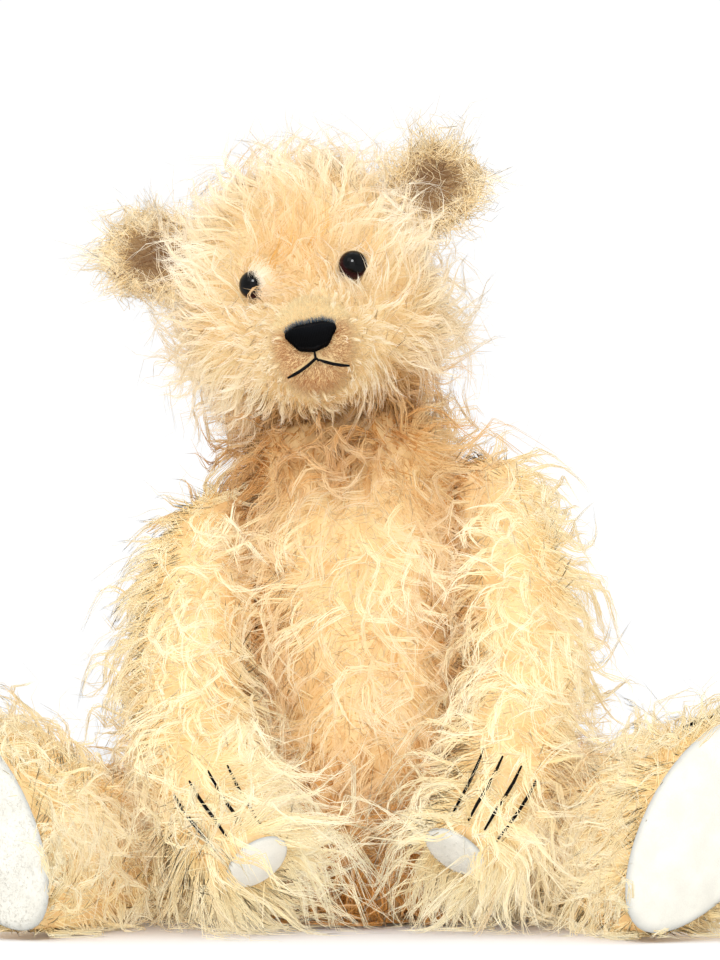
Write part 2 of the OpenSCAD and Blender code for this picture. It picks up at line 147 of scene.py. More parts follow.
mottle = {"patchDetail": 4.0, "napDetail": 2.0, "napRoughness": 0.7, "napShare": 0.45, "mask": (0.5, 0.95),
          "napHeight": 0.0004}


def makeClothShade():  # mottled cloth with a fine nap
    inputs = [("Dark", "NodeSocketColor", (0, 0, 0, 1)), ("Pale", "NodeSocketColor", (1, 1, 1, 1))]
    inputs += [("Patch", "NodeSocketFloat", 40.0), ("Nap", "NodeSocketFloat", 900.0)]
    outputs = [("Colour", "NodeSocketColor"), ("Height", "NodeSocketFloat")]
    tree, given, out = newGroup("clothShade", inputs, outputs)
    place = addNode(tree, "ShaderNodeTexCoord")
    patch = addNode(tree, "ShaderNodeTexNoise", {"Detail": mottle["patchDetail"]})
    napNoise = {"Detail": mottle["napDetail"], "Roughness": mottle["napRoughness"]}
    nap = addNode(tree, "ShaderNodeTexNoise", napNoise)
    for noise, label in ((patch, "Patch"), (nap, "Nap")):
        tree.links.new(place.outputs["Object"], noise.inputs["Vector"])
        tree.links.new(given.outputs[label], noise.inputs["Scale"])
    mixed = addNode(tree, "ShaderNodeMath", {1: mottle["napShare"]}, operation="MULTIPLY_ADD")
    tree.links.new(nap.outputs[0], mixed.inputs[0])
    tree.links.new(patch.outputs[0], mixed.inputs[2])
    mask = spread(tree, mixed.outputs[0], *mottle["mask"])
    tree.links.new(mixColours(tree, mask, given.outputs["Dark"], given.outputs["Pale"]), out.inputs[0])
    tree.links.new(nap.outputs[0], out.inputs[1])
    return tree


pileShade = makePileShade()
clothShade = makeClothShade()


def newMaterial(name, **sockets):
    material = bpy.data.materials.new(name)
    material.use_nodes = True
    shader = material.node_tree.nodes["Principled BSDF"]
    for key, value in sockets.items():
        shader.inputs[key.replace("_", " ")].default_value = value
    return material, material.node_tree, shader


def pileMaterial(name, colours, roughness=0.62, specular=0.2):
    material, tree, shader = newMaterial(name, Roughness=roughness, Specular_IOR_Level=specular)
    group = addNode(tree, "ShaderNodeGroup", {k: shade(v) for k, v in colours.items()}, node_tree=pileShade)
    tree.links.new(group.outputs[0], shader.inputs["Base Color"])
    return material


def clothMaterial(name, dark, pale, patch, nap, bump, **sockets):
    material, tree, shader = newMaterial(name, **sockets)
    values = {"Dark": shade(dark), "Pale": shade(pale), "Patch": patch, "Nap": nap}
    group = addNode(tree, "ShaderNodeGroup", values, node_tree=clothShade)
    relief = addNode(tree, "ShaderNodeBump", {"Strength": bump, "Distance": mottle["napHeight"]})
    tree.links.new(group.outputs["Colour"], shader.inputs["Base Color"])
    tree.links.new(group.outputs["Height"], relief.inputs["Height"])
    tree.links.new(relief.outputs[0], shader.inputs["Normal"])
    return material


bodyPile = pileMaterial("body_mohair", {
    "Root": "#f8da9e", "Middle": "#fdecc2", "Tip": "#fff6de", "Deep": "#d39a52", "Light": "#fffff8"})
headPile = pileMaterial("head_mohair", {
    "Root": "#dcc08c", "Middle": "#f6e6c6", "Tip": "#fffaf0", "Deep": "#e8b052", "Light": "#fbf7ee"})
earPile = pileMaterial("ear_mohair", {
    "Root": "#dcb87e", "Middle": "#f8e0b2", "Tip": "#fff6e0", "Deep": "#6f4c22", "Light": "#fffdf8"})
muzzlePile = pileMaterial("clipped_mohair", {
    "Root": "#ecc486", "Middle": "#fbe2aa", "Tip": "#fff1c6", "Deep": "#a05f2c", "Light": "#ffffff"},
    roughness=0.7)
feltPile = pileMaterial("felt_fibres", {
    "Root": "#e6e3db", "Middle": "#f3f1e9", "Tip": "#fbfaf4", "Deep": "#e2e1db", "Light": "#ffffff"},
    roughness=0.8)
flossPile = pileMaterial("floss_fibres", {
    "Root": "#060607", "Middle": "#0a0a0c", "Tip": "#15181c", "Deep": "#9a9a9a", "Light": "#ffffff"},
    roughness=0.85, specular=0.04)
fuzzPile = pileMaterial("nose_fuzz_fibres", {
    "Root": "#23292f", "Middle": "#586670", "Tip": "#86949e", "Deep": "#b4b8bc", "Light": "#ffffff"},
    roughness=0.85, specular=0.04)
backcloth = {"patch": 60.0, "bump": 0.4, "Roughness": 0.8}
headBacking = clothMaterial("head_backing", "#cfa468", "#e8c994", nap=900.0, **backcloth)
backing = clothMaterial("mohair_backing", "#e2b575", "#f2d096", nap=700.0, **backcloth)
earBacking = clothMaterial("ear_backing", "#6c4b24", "#94703e", nap=900.0, **backcloth)
floss = clothMaterial("black_floss", "#020202", "#0c0c10", patch=300.0, nap=2600.0, bump=0.6,
                      Roughness=0.55, Specular_IOR_Level=0.05)
hardboard = clothMaterial("hardboard", "#5d3f26", "#8a6540", patch=80.0, nap=1500.0, bump=0.3, Roughness=0.7)
zinc = clothMaterial("zinc_steel", "#8d9094", "#c3c6ca", patch=120.0, nap=600.0, bump=0.05,
                     Roughness=0.35, Metallic=1.0)
# grey painted shade at the rim of each felt pad
feltEdge = {"colour": "#adaeaa", "inner": (0.5, 0.66)}


def makeFelt():  # painted shade: greyer towards the edge of a pad
    material = clothMaterial("wool_felt", "#dedbd0", "#ebe8dd", patch=90.0, nap=1600.0, bump=0.5,
                             Roughness=0.85)
    tree = material.node_tree
    base = tree.nodes["Principled BSDF"].inputs["Base Color"]
    inner = spread(tree, mapParts(tree, "padRound")[1], *feltEdge["inner"])
    tree.links.new(mixColours(tree, inner, shade(feltEdge["colour"]), base.links[0].from_socket), base)
    return material


glass = {"ring": "#2a0c12", "pupil": "#030303", "edge": (0.60, 0.72), "roughness": 0.03, "specular": 0.14}


def makeEyeGlass():  # black pupil in a thin red-brown ring
    material, tree, shader = newMaterial("eye_glass", Roughness=glass["roughness"],
                                         Specular_IOR_Level=glass["specular"])
    pupil = spread(tree, mapParts(tree, "eyeRound")[1], *glass["edge"])
    ring = mixColours(tree, pupil, shade(glass["ring"]), shade(glass["pupil"]))
    tree.links.new(ring, shader.inputs["Base Color"])
    return material


felt = makeFelt()
eyeGlass = makeEyeGlass()
print("finishes made")


# helpers for pieces
def addPiece(name, bm, material, body):
    mesh = bpy.data.meshes.new(name)
    bm.to_mesh(mesh)
    bm.free()
    return placePiece(name, mesh, material, body)


def placePiece(name, mesh, material, body):
    piece = bpy.data.objects.new(name, mesh)
    bpy.context.scene.collection.objects.link(piece)
    mesh.materials.append(material)
    mesh.shade_smooth()
    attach(piece, body)
    return piece


def meshArrays(mesh):
    mesh.calc_loop_triangles()
    points = np.empty(len(mesh.vertices) * 3)
    mesh.vertices.foreach_get("co", points)
    normals = np.empty(len(mesh.vertices) * 3)
    mesh.vertices.foreach_get("normal", normals)
    triangles = np.empty(len(mesh.loop_triangles) * 3, dtype=np.int32)
    mesh.loop_triangles.foreach_get("vertices", triangles)
    return points.reshape(-1, 3), normals.reshape(-1, 3), triangles.reshape(-1, 3)


def nearTree(mesh):
    points, _, triangles = meshArrays(mesh)
    return BVHTree.FromPolygons(points.tolist(), triangles.tolist())


def gaps(tree, points):
    return np.array([tree.find_nearest(Vector(p))[3] for p in points])


def unit(vectors):
    return vectors / np.maximum(np.linalg.norm(vectors, axis=-1, keepdims=True), 1e-9)


def smoothStep(values, low, high):
    t = np.clip((values - low) / (high - low), 0, 1)
    return t * t * (3 - 2 * t)


waveField = {"waves": 7, "stretch": (0.6, 1.5), "shift": 7, "even": 1.6}


def wander(points, size, seed):  # smooth vectors that turn over about this distance
    waves = np.random.default_rng(seed)
    field = np.zeros((len(points), 3))
    for _ in range(waveField["waves"]):
        wave = unit(waves.normal(size=3)) * 2 * math.pi / size * waves.uniform(*waveField["stretch"])
        shift = waves.uniform(0, waveField["shift"])
        field += np.sin(points @ wave + shift)[:, None] * unit(waves.normal(size=3))
    return field / waveField["even"]


def boxMiddle(node):
    low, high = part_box(node)
    return (Vector(low) + Vector(high)) / 2


# the head's own directions, and the middle of its clipped muzzle
headSet = {"roll": -11, "turn": -3, "muzzleBack": 0.010, "muzzleDown": 0.004}
cadTree = {name: nearTree(nodes[name].data) for name in bodyNames + earNames + padNames}
headTilt = Matrix.Rotation(math.radians(headSet["roll"]), 3, "Y")
headTilt = headTilt @ Matrix.Rotation(math.radians(headSet["turn"]), 3, "Z")
faceFront = headTilt @ Vector((0, -1, 0))
faceUp = headTilt @ Vector((0, 0, 1))
faceSide = headTilt @ Vector((1, 0, 0))
frontWay, upWay, sideWay = (np.array(way) for way in (faceFront, faceUp, faceSide))
noseMiddle = boxMiddle("nose")
muzzle = noseMiddle - faceFront * headSet["muzzleBack"] - faceUp * headSet["muzzleDown"]
clip = {"narrow": 1.25, "near": 0.0175, "far": 0.027, "stubble": 0.023, "past": 0.028,
        "long": 0.072, "longest": 0.11}  # all but narrow are distances from its middle


def awayFromMuzzle(spots):  # narrower than it is high
    apart = spots - np.array(muzzle)
    side = apart @ sideWay
    return np.sqrt((apart ** 2).sum(axis=1) + (clip["narrow"] ** 2 - 1) * side ** 2)


# covers: the cloth under the pile, sunk below the CAD form, which the middle of the pile follows
cover = {"voxel": 0.0045, "sink": 0.005, "clippedSink": 0.0014, "earSink": 0.0035, "rounds": 4, "smooth": 0.5,
         "merge": 1e-6, "joint": (0.0015, 0.012), "unclipped": (0.026, 0.075)}


def largestIsland(bm):
    left, best = set(bm.verts), []
    while left:
        island, edge = [], [left.pop()]
        while edge:
            vert = edge.pop()
            island.append(vert)
            for link in vert.link_edges:
                other = link.other_vert(vert)
                if other in left:
                    left.remove(other)
                    edge.append(other)
        best = max(best, island, key=len)
    return set(best)


def smoothOut(bm, rounds):
    axes = {"use_axis_x": True, "use_axis_y": True, "use_axis_z": True}
    for _ in range(rounds):
        bmesh.ops.smooth_vert(bm, verts=bm.verts, factor=cover["smooth"], **axes)


def makeCover(node, body, near, sinkAt, cloth):
    bm = bmesh.new()
    bm.from_mesh(nodes[node].data)
    bmesh.ops.remove_doubles(bm, verts=bm.verts, dist=cover["merge"])
    piece = addPiece(node + "_cover", bm, cloth, body)
    remesh = piece.modifiers.new("cloth", "REMESH")
    remesh.mode = "VOXEL"
    remesh.voxel_size = cover["voxel"]
    graph = bpy.context.evaluated_depsgraph_get()
    mesh = bpy.data.meshes.new_from_object(piece.evaluated_get(graph))
    piece.modifiers.clear()
    bm = bmesh.new()
    bm.from_mesh(mesh)
    keep = largestIsland(bm)  # the joint hollows inside are left out
    bmesh.ops.delete(bm, geom=[v for v in bm.verts if v not in keep], context="VERTS")
    smoothOut(bm, cover["rounds"])
    bm.normal_update()
    spots = np.array([v.co for v in bm.verts])
    away = np.min([gaps(cadTree[n], spots) for n in near], axis=0)
    depth = sinkAt(spots) * smoothStep(away, *cover["joint"])  # joint faces stay where they are
    for vert, by in zip(bm.verts, depth):
        vert.co -= vert.normal * by
    smoothOut(bm, 1)
    bm.to_mesh(mesh)
    bm.free()
    mesh.name = piece.name
    piece.data = mesh
    mesh.materials.clear()
    mesh.materials.append(cloth)
    mesh.shade_smooth()
    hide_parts(node)
    return piece


def evenSink(depth):
    return lambda spots: np.full(len(spots), depth)


def headSink(spots):
    deep = smoothStep(awayFromMuzzle(spots), *cover["unclipped"])
    return cover["clippedSink"] + (cover["sink"] - cover["clippedSink"]) * deep


limbs = [n for n in bodyNames if n != "torso"]
covers = {"torso": makeCover("torso", "torso", limbs, evenSink(cover["sink"]), backing)}
covers["head"] = makeCover("head", "head", ["torso"] + earNames, headSink, headBacking)
for limb in limbs[1:]:
    pads = [n for n in padNames if n.startswith(limb.split("_")[0])]
    covers[limb] = makeCover(limb, limb, ["torso"] + pads, evenSink(cover["sink"]), backing)
for ear in earNames:
    covers[ear] = makeCover(ear, "head", ["head"], evenSink(cover["earSink"]), earBacking)
coverTree = {n: nearTree(c.data) for n, c in covers.items()}
print("covers made:", {n: len(c.data.polygons) for n, c in covers.items()})


# fibres and locks
def fibreShape(levels, sides):  # one tapered fibre, cut across where it bends
    bm = bmesh.new()
    bmesh.ops.create_cone(bm, cap_ends=True, segments=sides, radius1=1, radius2=0, depth=1)
    bmesh.ops.remove_doubles(bm, verts=bm.verts, dist=1e-5)
    for k in range(1, levels):
        geometry = bm.verts[:] + bm.edges[:] + bm.faces[:]
        bmesh.ops.bisect_plane(bm, geom=geometry, plane_co=(0, 0, k / levels - 0.5), plane_no=(0, 0, 1))
    bmesh.ops.triangulate(bm, faces=bm.faces)
    bm.verts.index_update()
    spots = np.array([v.co for v in bm.verts])
    triangles = np.array([[v.index for v in f.verts] for f in bm.faces])
    bm.free()
    level = np.rint((spots[:, 2] + 0.5) * levels).astype(int)
    return level, np.arctan2(spots[:, 1], spots[:, 0]), triangles


def scatter(piece, density, apart=0.0):  # apart is the least space between two roots
    points, normals, triangles = meshArrays(piece.data)
    corners = points[triangles]
    area = np.linalg.norm(np.cross(corners[:, 1] - corners[:, 0], corners[:, 2] - corners[:, 0]), axis=1) / 2
    weight = area * density(corners.mean(axis=1), unit(normals[triangles].mean(axis=1)))
    count = int(weight.sum())
    pick = rng.choice(len(triangles), count, p=weight / weight.sum())
    a, b = np.sqrt(rng.random(count)), rng.random(count)
    parts = np.stack((1 - a, a * (1 - b), a * b), axis=1)[:, :, None]
    roots, facing = (corners[pick] * parts).sum(axis=1), unit((normals[triangles[pick]] * parts).sum(axis=1))
    if not apart:
        return roots, facing
    finder = KDTree(count)
    for i, root in enumerate(roots):
        finder.insert(root, i)
    finder.balance()
    keep = np.ones(count, dtype=bool)
    for i in range(count):
        if keep[i]:
            for _, other, _ in finder.find_range(roots[i], apart):
                keep[other] &= other <= i
    return roots[keep], facing[keep]


lockShape = {"lift": (0.7, 1.3), "drift": 4, "driftSeed": 40, "phase": (-0.9, 0.9), "turns": (0.85, 1.15),
             "swing": (0.6, 1.4), "swingIn": 1.6, "flat": 0.6, "settle": 2}


def growLocks(style, roots, normals, comb, reach, tree):  # the middle line of each lock
    count, levels = len(roots), style["levels"]
    comb = comb + style["swirl"] * wander(roots, style["swirlSize"], style["seed"])
    comb = comb + style["stray"] * rng.normal(size=(count, 3))
    comb = unit(comb - normals * (comb * normals).sum(axis=1, keepdims=True))
    lift = style["lift"] * rng.uniform(*lockShape["lift"], count)[:, None]
    start = unit(normals * lift + comb * (1 - lift))
    finish = unit(comb + np.array([0, 0, -style["droop"]]) + normals * style["fluff"])
    length = style["length"] * reach * (1 + style["uneven"] * rng.uniform(-1, 1, count))
    t = np.arange(levels + 1) / levels
    paths = np.empty((count, levels + 1, 3))
    paths[:, 0] = roots
    for k in range(1, levels + 1):
        s = (k - 0.5) / levels
        paths[:, k] = paths[:, k - 1] + unit(start * (1 - s) + finish * s) * (length / levels)[:, None]
    side = unit(np.cross(normals, start))
    over = np.cross(start, side)
    driftSeed = style["seed"] + lockShape["driftSeed"]
    drift = lockShape["drift"] * wander(roots, style["swirlSize"], driftSeed)[:, 0]
    phase = (drift + rng.uniform(*lockShape["phase"], count))[:, None]  # neighbours curl much alike
    turns = length * rng.uniform(*lockShape["turns"], count) / style["wave"]
    angle = phase + 2 * math.pi * t * turns[:, None]
    swing = style["curl"] * length / style["length"] * rng.uniform(*lockShape["swing"], count)
    swing = swing[:, None] * np.minimum(1, t * lockShape["swingIn"])
    paths += ((np.cos(angle) - np.cos(phase)) * swing)[:, :, None] * side[:, None]
    paths += (np.sin(angle) * swing * lockShape["flat"])[:, :, None] * over[:, None]
    for i in range(count):  # a lock lies on its own cover, not in it
        for k in range(1, levels + 1):
            spot = Vector(paths[i, k])
            hit, normal, _, _ = tree.find_nearest(spot)
            rise = style["rise"] * min(1.0, lockShape["settle"] * t[k]) - (spot - hit).dot(normal)
            if rise > 0:
                paths[i, k] += np.array(normal) * rise
    return paths


hairShape = {"reach": (0.7, 1.15), "twist": (-1.5, 1.5), "root": 0.55, "belly": 0.45, "close": 0.6,
             "flat": 0.8, "width": (0.65, 1.35), "tint": 0.05}


def splitLocks(style, paths, normals):  # the single hairs that lie together in each lock
    lock = np.repeat(np.arange(len(paths)), style["hairs"])
    count, levels = len(lock), style["levels"]
    t = np.arange(levels + 1) / levels
    place = t[None] * rng.uniform(*hairShape["reach"], count)[:, None] * levels
    low = np.minimum(place.astype(int), levels - 1)
    rows = np.arange(count)[:, None]
    middle = paths[lock]
    lines = middle[rows, low] + (place - low)[:, :, None] * (middle[rows, low + 1] - middle[rows, low])
    ahead = unit(np.gradient(lines, axis=1))
    side = unit(np.cross(ahead, normals[lock][:, None]))
    over = np.cross(side, ahead)
    turn = rng.uniform(0, 2 * math.pi, count)[:, None] + rng.uniform(*hairShape["twist"], count)[:, None] * t
    thick = hairShape["root"] + hairShape["belly"] * np.sin(math.pi * t)
    gather = style["lock"] * (thick * (1 - t) ** hairShape["close"] + style["tip"])
    out = gather * np.sqrt(rng.random(count))[:, None]
    aside = (np.cos(turn) * out)[:, :, None] * side
    lines += aside + (np.sin(turn) * out * hairShape["flat"])[:, :, None] * over
    loose = rng.normal(size=(count, 1, 3)) * style["loose"] * (t ** 2)[None, :, None]
    return lines + loose, lock


tintDrift = {"size": 0.07, "seed": 5, "patch": 0.08, "each": 0.12, "range": (0.03, 0.97)}


def tintOf(roots, base):
    drift = wander(roots, tintDrift["size"], tintDrift["seed"])[:, 0] * tintDrift["patch"]
    return np.clip(base + drift + rng.normal(size=len(roots)) * tintDrift["each"], *tintDrift["range"])


taper = {"thin": 0.55, "root": 0.75, "belly": 0.6, "threadEnd": 6, "threadStart": 0.08, "threadRound": 0.5}
# each fibre's place in its map
fibreMap = {"round": 0.02, "across": (0.005, 0.995), "root": 0.02, "length": 0.96}
groundFacing = (-0.1, 0.6)  # how far a side of a fibre faces out before it is shaded as the ground
evenHairs = (0.7, 1.3)  # range of widths among single hairs


def fibreWidth(t):
    return (1 - t) ** taper["thin"] * (taper["root"] + taper["belly"] * t)


def threadWidth(t):
    ends = np.minimum(t + taper["threadStart"], 1.0 - t)
    return np.minimum(1, taper["threadEnd"] * ends) ** taper["threadRound"]


def weaveFibres(name, shape, paths, faceUpwards, radius, tint, look, body):
    material, widthAt, soft = look  # soft is how far a fibre is shaded as the surface that it grows from
    level, angle, triangles = shape
    count, levels = len(paths), paths.shape[1] - 1
    t = np.arange(levels + 1) / levels
    width = radius[:, None] * np.maximum(widthAt(t), 0)
    ahead = unit(np.gradient(paths, axis=1))
    side = unit(np.cross(ahead, faceUpwards[:, None]))
    over = np.cross(side, ahead)
    ring = np.cos(angle)[:, None] * side[:, level] - np.sin(angle)[:, None] * over[:, level]
    spots = paths[:, level] + width[:, level, None] * ring
    faces = (triangles[None] + (np.arange(count) * len(level))[:, None, None]).reshape(-1, 3)
    mesh = bpy.data.meshes.new(name)
    mesh.vertices.add(count * len(level))
    mesh.vertices.foreach_set("co", spots.astype(np.float32).ravel())
    mesh.loops.add(faces.size)
    mesh.loops.foreach_set("vertex_index", faces.astype(np.int32).ravel())
    mesh.polygons.add(len(faces))
    mesh.polygons.foreach_set("loop_start", np.arange(0, faces.size, 3, dtype=np.int32))
    mesh.update(calc_edges=True)
    across = np.clip(tint[:, None] + fibreMap["round"] * np.cos(angle)[None], *fibreMap["across"])
    along = np.broadcast_to(fibreMap["root"] + fibreMap["length"] * t[level], across.shape)
    places = np.stack((across, along), axis=2).reshape(-1, 2)
    layer = mesh.uv_layers.new(name="OFBake")
    layer.data.foreach_set("uv", places[faces.ravel()].astype(np.float32).ravel())
    mesh.validate()
    piece = placePiece(name, mesh, material, body)
    if soft:
        ground = faceUpwards[:, None]
        share = soft * smoothStep((ring * ground).sum(axis=2, keepdims=True), *groundFacing)
        mesh.normals_split_custom_set_from_vertices(unit(ring * (1 - share) + ground * share).reshape(-1, 3))
    return piece


# felt pads as they lie in the CAD, for the pile to keep off
def padPlane(node, limb):
    spots = meshArrays(nodes[node].data)[0]
    middle = spots.mean(axis=0)
    axes = np.linalg.svd(spots - middle, full_matrices=False)[2]
    flat = (spots - middle) @ axes.T
    middle = middle + (flat.max(axis=0) + flat.min(axis=0)) / 2 @ axes
    if axes[2] @ (middle - np.array(boxMiddle(limb))) < 0:
        axes = axes * np.array([[1], [-1], [-1]])
    flat = (spots - middle) @ axes.T
    turn, reach = np.arctan2(flat[:, 1], flat[:, 0]), np.hypot(flat[:, 0], flat[:, 1])
    order = np.argsort(turn)
    return {"middle": middle, "axes": axes, "turn": turn[order], "reach": reach[order]}


def padEdge(plane, turn):
    return np.interp(turn, plane["turn"], plane["reach"], period=2 * math.pi)


def overPad(plane, spots):  # share of the way from the pad's middle to its edge, and height over it
    flat = (spots - plane["middle"]) @ plane["axes"].T
    edge = padEdge(plane, np.arctan2(flat[..., 1], flat[..., 0]))
    return np.hypot(flat[..., 0], flat[..., 1]) / edge, flat[..., 2]


padPlanes, clawTree = {}, {}
for side in bothSides:
    for limb, end in (("arm", "paw"), ("leg", "foot")):
        padPlanes[f"{side}_{limb}"] = padPlane(f"{side}_{end}_pad", f"{side}_{limb}")
        clawTree[f"{side}_{limb}"] = nearTree(nodes[f"{side}_{end}_claws"].data)

# where pile may lie, and how it takes light
padRim = {"left_arm": 0.0, "right_arm": 0.2, "left_leg": 0.88, "right_leg": 0.88}  # how far in it may hang
padDepth = -0.002
boxRoom = {"share": 0.03, "more": 0.009, "shortest": 0.3, "floor": 0.0014, "heap": 0.002}
shadeShare = {"open": 0.04, "close": 0.28, "neck": 0.95, "lap": 0.85, "near": 0.004, "far": 0.030,
              "warmToneAndPaintedShade": 0.5}  # the share of hairs that shade the others, and painted shade: how much warmer and deeper the tint goes in close places and under the chin
pileSoft = 0.5
mouthRoom = 0.0012
mostTriangles = 195000  # in one piece
proud = (np.array(cadBox[1]) - np.array(cadBox[0])) * boxRoom["share"] + boxRoom["more"]
lowest, highest = np.array(cadBox[0]) - proud, np.array(cadBox[1]) + proud
neck = np.array(jointAt["head_turn"])
mouthTree = nearTree(nodes["mouth"].data)
ballFit = {"rounds": 6, "near": 0.0003}


def fitBall(node):  # middle and radius of the glass ball in an eye's node
    spots = meshArrays(nodes[node].data)[0]
    near = np.ones(len(spots), dtype=bool)
    for _ in range(ballFit["rounds"]):
        rows = np.c_[2 * spots[near], np.ones(near.sum())]
        answer = np.linalg.lstsq(rows, (spots[near] ** 2).sum(axis=1), rcond=None)[0]
        radius = math.sqrt(answer[3] + answer[:3] @ answer[:3])
        near = np.abs(np.linalg.norm(spots - answer[:3], axis=1) - radius) < ballFit["near"]
    return Vector(answer[:3]), radius


eyes = {side: fitBall(side + "_eye") for side in bothSides}
gaze = {"left": 0.42, "right": -0.42, "up": 0.3}
lookOf = {side: (faceFront + faceSide * gaze[side] + faceUp * gaze["up"]).normalized() for side in eyes}
lidSide = {"left": faceUp * 0.75 + faceSide * 0.66, "right": faceSide}  # where pile may come over the glass
eyeRoom = {"root": 0.9, "off": 1.07, "lid": 0.25, "clear": 0.72}  # in radii of the ball


def awayFromOthers(part, spots):
    own = {part, "head"} if part.endswith("_ear") else {part}
    return np.min([gaps(cadTree[n], spots) for n in bodyNames if n not in own], axis=0)


chin = {"away": (0.042, 0.072), "aside": (0.030, 0.052)}
lap = {"height": (0.035, 0.095), "front": (0.02, 0.05)}


# the neck under the chin, where the pile is painted deeper as shade and more of its hairs shade the others
def underChin(spots):
    near = 1 - smoothStep(np.linalg.norm(spots - neck, axis=1), *chin["away"])
    return near * (1 - smoothStep(np.abs(spots[:, 0] - neck[0]), *chin["aside"]))


def inLap(spots):  # low between the legs
    return (1 - smoothStep(spots[:, 2], *lap["height"])) * smoothStep(-spots[:, 1], *lap["front"])


thinning = {"least": 0.3, "more": 0.7, "apart": (0.003, 0.016), "floor": 0.012, "down": -0.5, "seat": 0.25,
            "padEdge": 0.97, "padDepth": -0.006}
squeeze = {"least": 0.7, "more": 0.3, "apart": (0.003, 0.02)}


def openDensity(part, amount):  # thinner where parts press together and on the seat, none under a pad
    def density(middles, normals):
        free = smoothStep(awayFromOthers(part, middles), *thinning["apart"])
        amounts = amount * (thinning["least"] + thinning["more"] * free)
        seat = (middles[:, 2] < thinning["floor"]) & (normals[:, 2] < thinning["down"])
        amounts = amounts * np.where(seat, thinning["seat"], 1.0)
        if part in padPlanes:
            share, height = overPad(padPlanes[part], middles)
            amounts = amounts * ((share > thinning["padEdge"]) | (height < thinning["padDepth"]))
        return amounts
    return density


def evenDensity(amount):
    return lambda middles, normals: np.full(len(middles), amount)


def fullReach(roots):
    return np.ones(len(roots))


def pressed(part):  # pile is shorter where it is squeezed between two parts
    return lambda roots: squeeze["least"] + squeeze["more"] * smoothStep(
        awayFromOthers(part, roots), *squeeze["apart"])


def tintTimes(tint, share):
    return lambda roots, normals: tint(roots, normals) * share


tuck = {"free": 0.45, "near": 0.012, "under": -0.0012, "slope": 0.9, "beside": 0.002}


def tuckClaws(part, paths):  # near the claws most of the pile lies flat under the stitches
    free = rng.random(len(paths)) < tuck["free"]
    for i in np.flatnonzero(~free):
        for k in range(1, paths.shape[1]):
            foot, normal, _, _ = cadTree[part].find_nearest(Vector(paths[i, k]))
            near = clawTree[part].find_nearest(foot, tuck["near"])[3]
            if near is not None:
                room = tuck["under"] + tuck["slope"] * max(0.0, near - tuck["beside"])
                over = (Vector(paths[i, k]) - foot).dot(normal) - room
                if over > 0:
                    paths[i, k] -= np.array(normal) * over


def keepInside(paths):  # shorter where pile would stand too far out of the CAD box, and lying on the floor
    roots = paths[:, :1]
    ways = paths - roots
    room = np.where(ways > 0, highest - roots, roots - lowest)
    share = np.min(room / np.maximum(np.abs(ways), 1e-6), axis=(1, 2))
    paths = roots + ways * np.clip(share, boxRoom["shortest"], 1)[:, None, None]
    floorLevel = boxRoom["floor"] + boxRoom["heap"] * rng.random((len(paths), 1))
    paths[:, 1:, 2] = np.maximum(paths[:, 1:, 2], floorLevel)
    return paths


def clearEyes(paths, keep):  # no pile in the glass, and before it only what comes from the lid's side
    for side, (middle, ball) in eyes.items():
        apart = paths - np.array(middle)
        away = np.linalg.norm(apart, axis=2)
        keep &= away[:, 0] > eyeRoom["root"] * ball
        outside = np.array(middle) + apart / away[:, :, None] * eyeRoom["off"] * ball
        paths = np.where((away < eyeRoom["off"] * ball)[:, :, None], outside, paths)
        ahead = apart @ np.array(lookOf[side])
        aside = np.sqrt(np.maximum(away ** 2 - ahead ** 2, 0))
        clear = apart @ np.array(lidSide[side]) < eyeRoom["lid"] * ball
        keep &= ~((ahead > 0) & clear & (aside < eyeRoom["clear"] * ball)).any(axis=1)
    return paths


def closeness(part, spots):  # 1 where another part lies close, 0 in the open
    return 1 - smoothStep(awayFromOthers(part, spots), shadeShare["near"], shadeShare["far"])


def layPile(part, name, style, density, comb, reach, tint, material):
    roots, normals = scatter(covers[part], density, style.get("apart", 0.0))
    paths = growLocks(style, roots, normals, comb(roots), reach(roots), coverTree[part])
    if part in clawTree and name != "fringe":
        tuckClaws(part, paths)
    paths = keepInside(paths)
    keep = np.ones(len(roots), dtype=bool)
    if part in padPlanes:
        share, height = overPad(padPlanes[part], paths)
        keep &= ~((share < padRim[part]) & (height > padDepth)).any(axis=1)
    if part == "head":
        paths = clearEyes(paths, keep)
    if name == "clipped_muzzle":
        keep &= np.minimum(gaps(mouthTree, paths[:, 0]), gaps(mouthTree, paths[:, -1])) > mouthRoom
    roots, normals, paths = roots[keep], normals[keep], paths[keep]
    # painted shade: the tint goes deeper and warmer close to other parts and under the chin
    close = closeness(part, roots)
    if part == "torso":
        close = close * (1 - ruff(roots))
    warmToneAndPaintedShade = shadeShare["warmToneAndPaintedShade"] * np.maximum(close, underChin(roots))
    tints = tintOf(roots, tint(roots, normals) * (1 - warmToneAndPaintedShade))
    if style["hairs"] > 1:
        paths, lock = splitLocks(style, paths, normals)
        paths = keepInside(paths)
        normals = normals[lock]
        tints = np.clip(tints[lock] + hairShape["tint"] * rng.normal(size=len(lock)), *tintDrift["range"])
    radius = style["radius"] * rng.uniform(*hairShape["width"], len(paths))
    shape = fibreShape(style["levels"], style["sides"])
    low = paths[:, 1]
    shading = shadeShare["open"] + shadeShare["close"] * closeness(part, low)
    shading = shading + shadeShare["neck"] * underChin(low)
    if part == "torso":
        shading = shading + shadeShare["lap"] * inLap(low)
    dense = rng.random(len(paths)) < shading
    look = (material, fibreWidth, pileSoft)
    for label, some in ((name + "_dense", dense), (name, ~dense)):
        hang(part, label, shape, paths[some], normals[some], radius[some], tints[some], look)


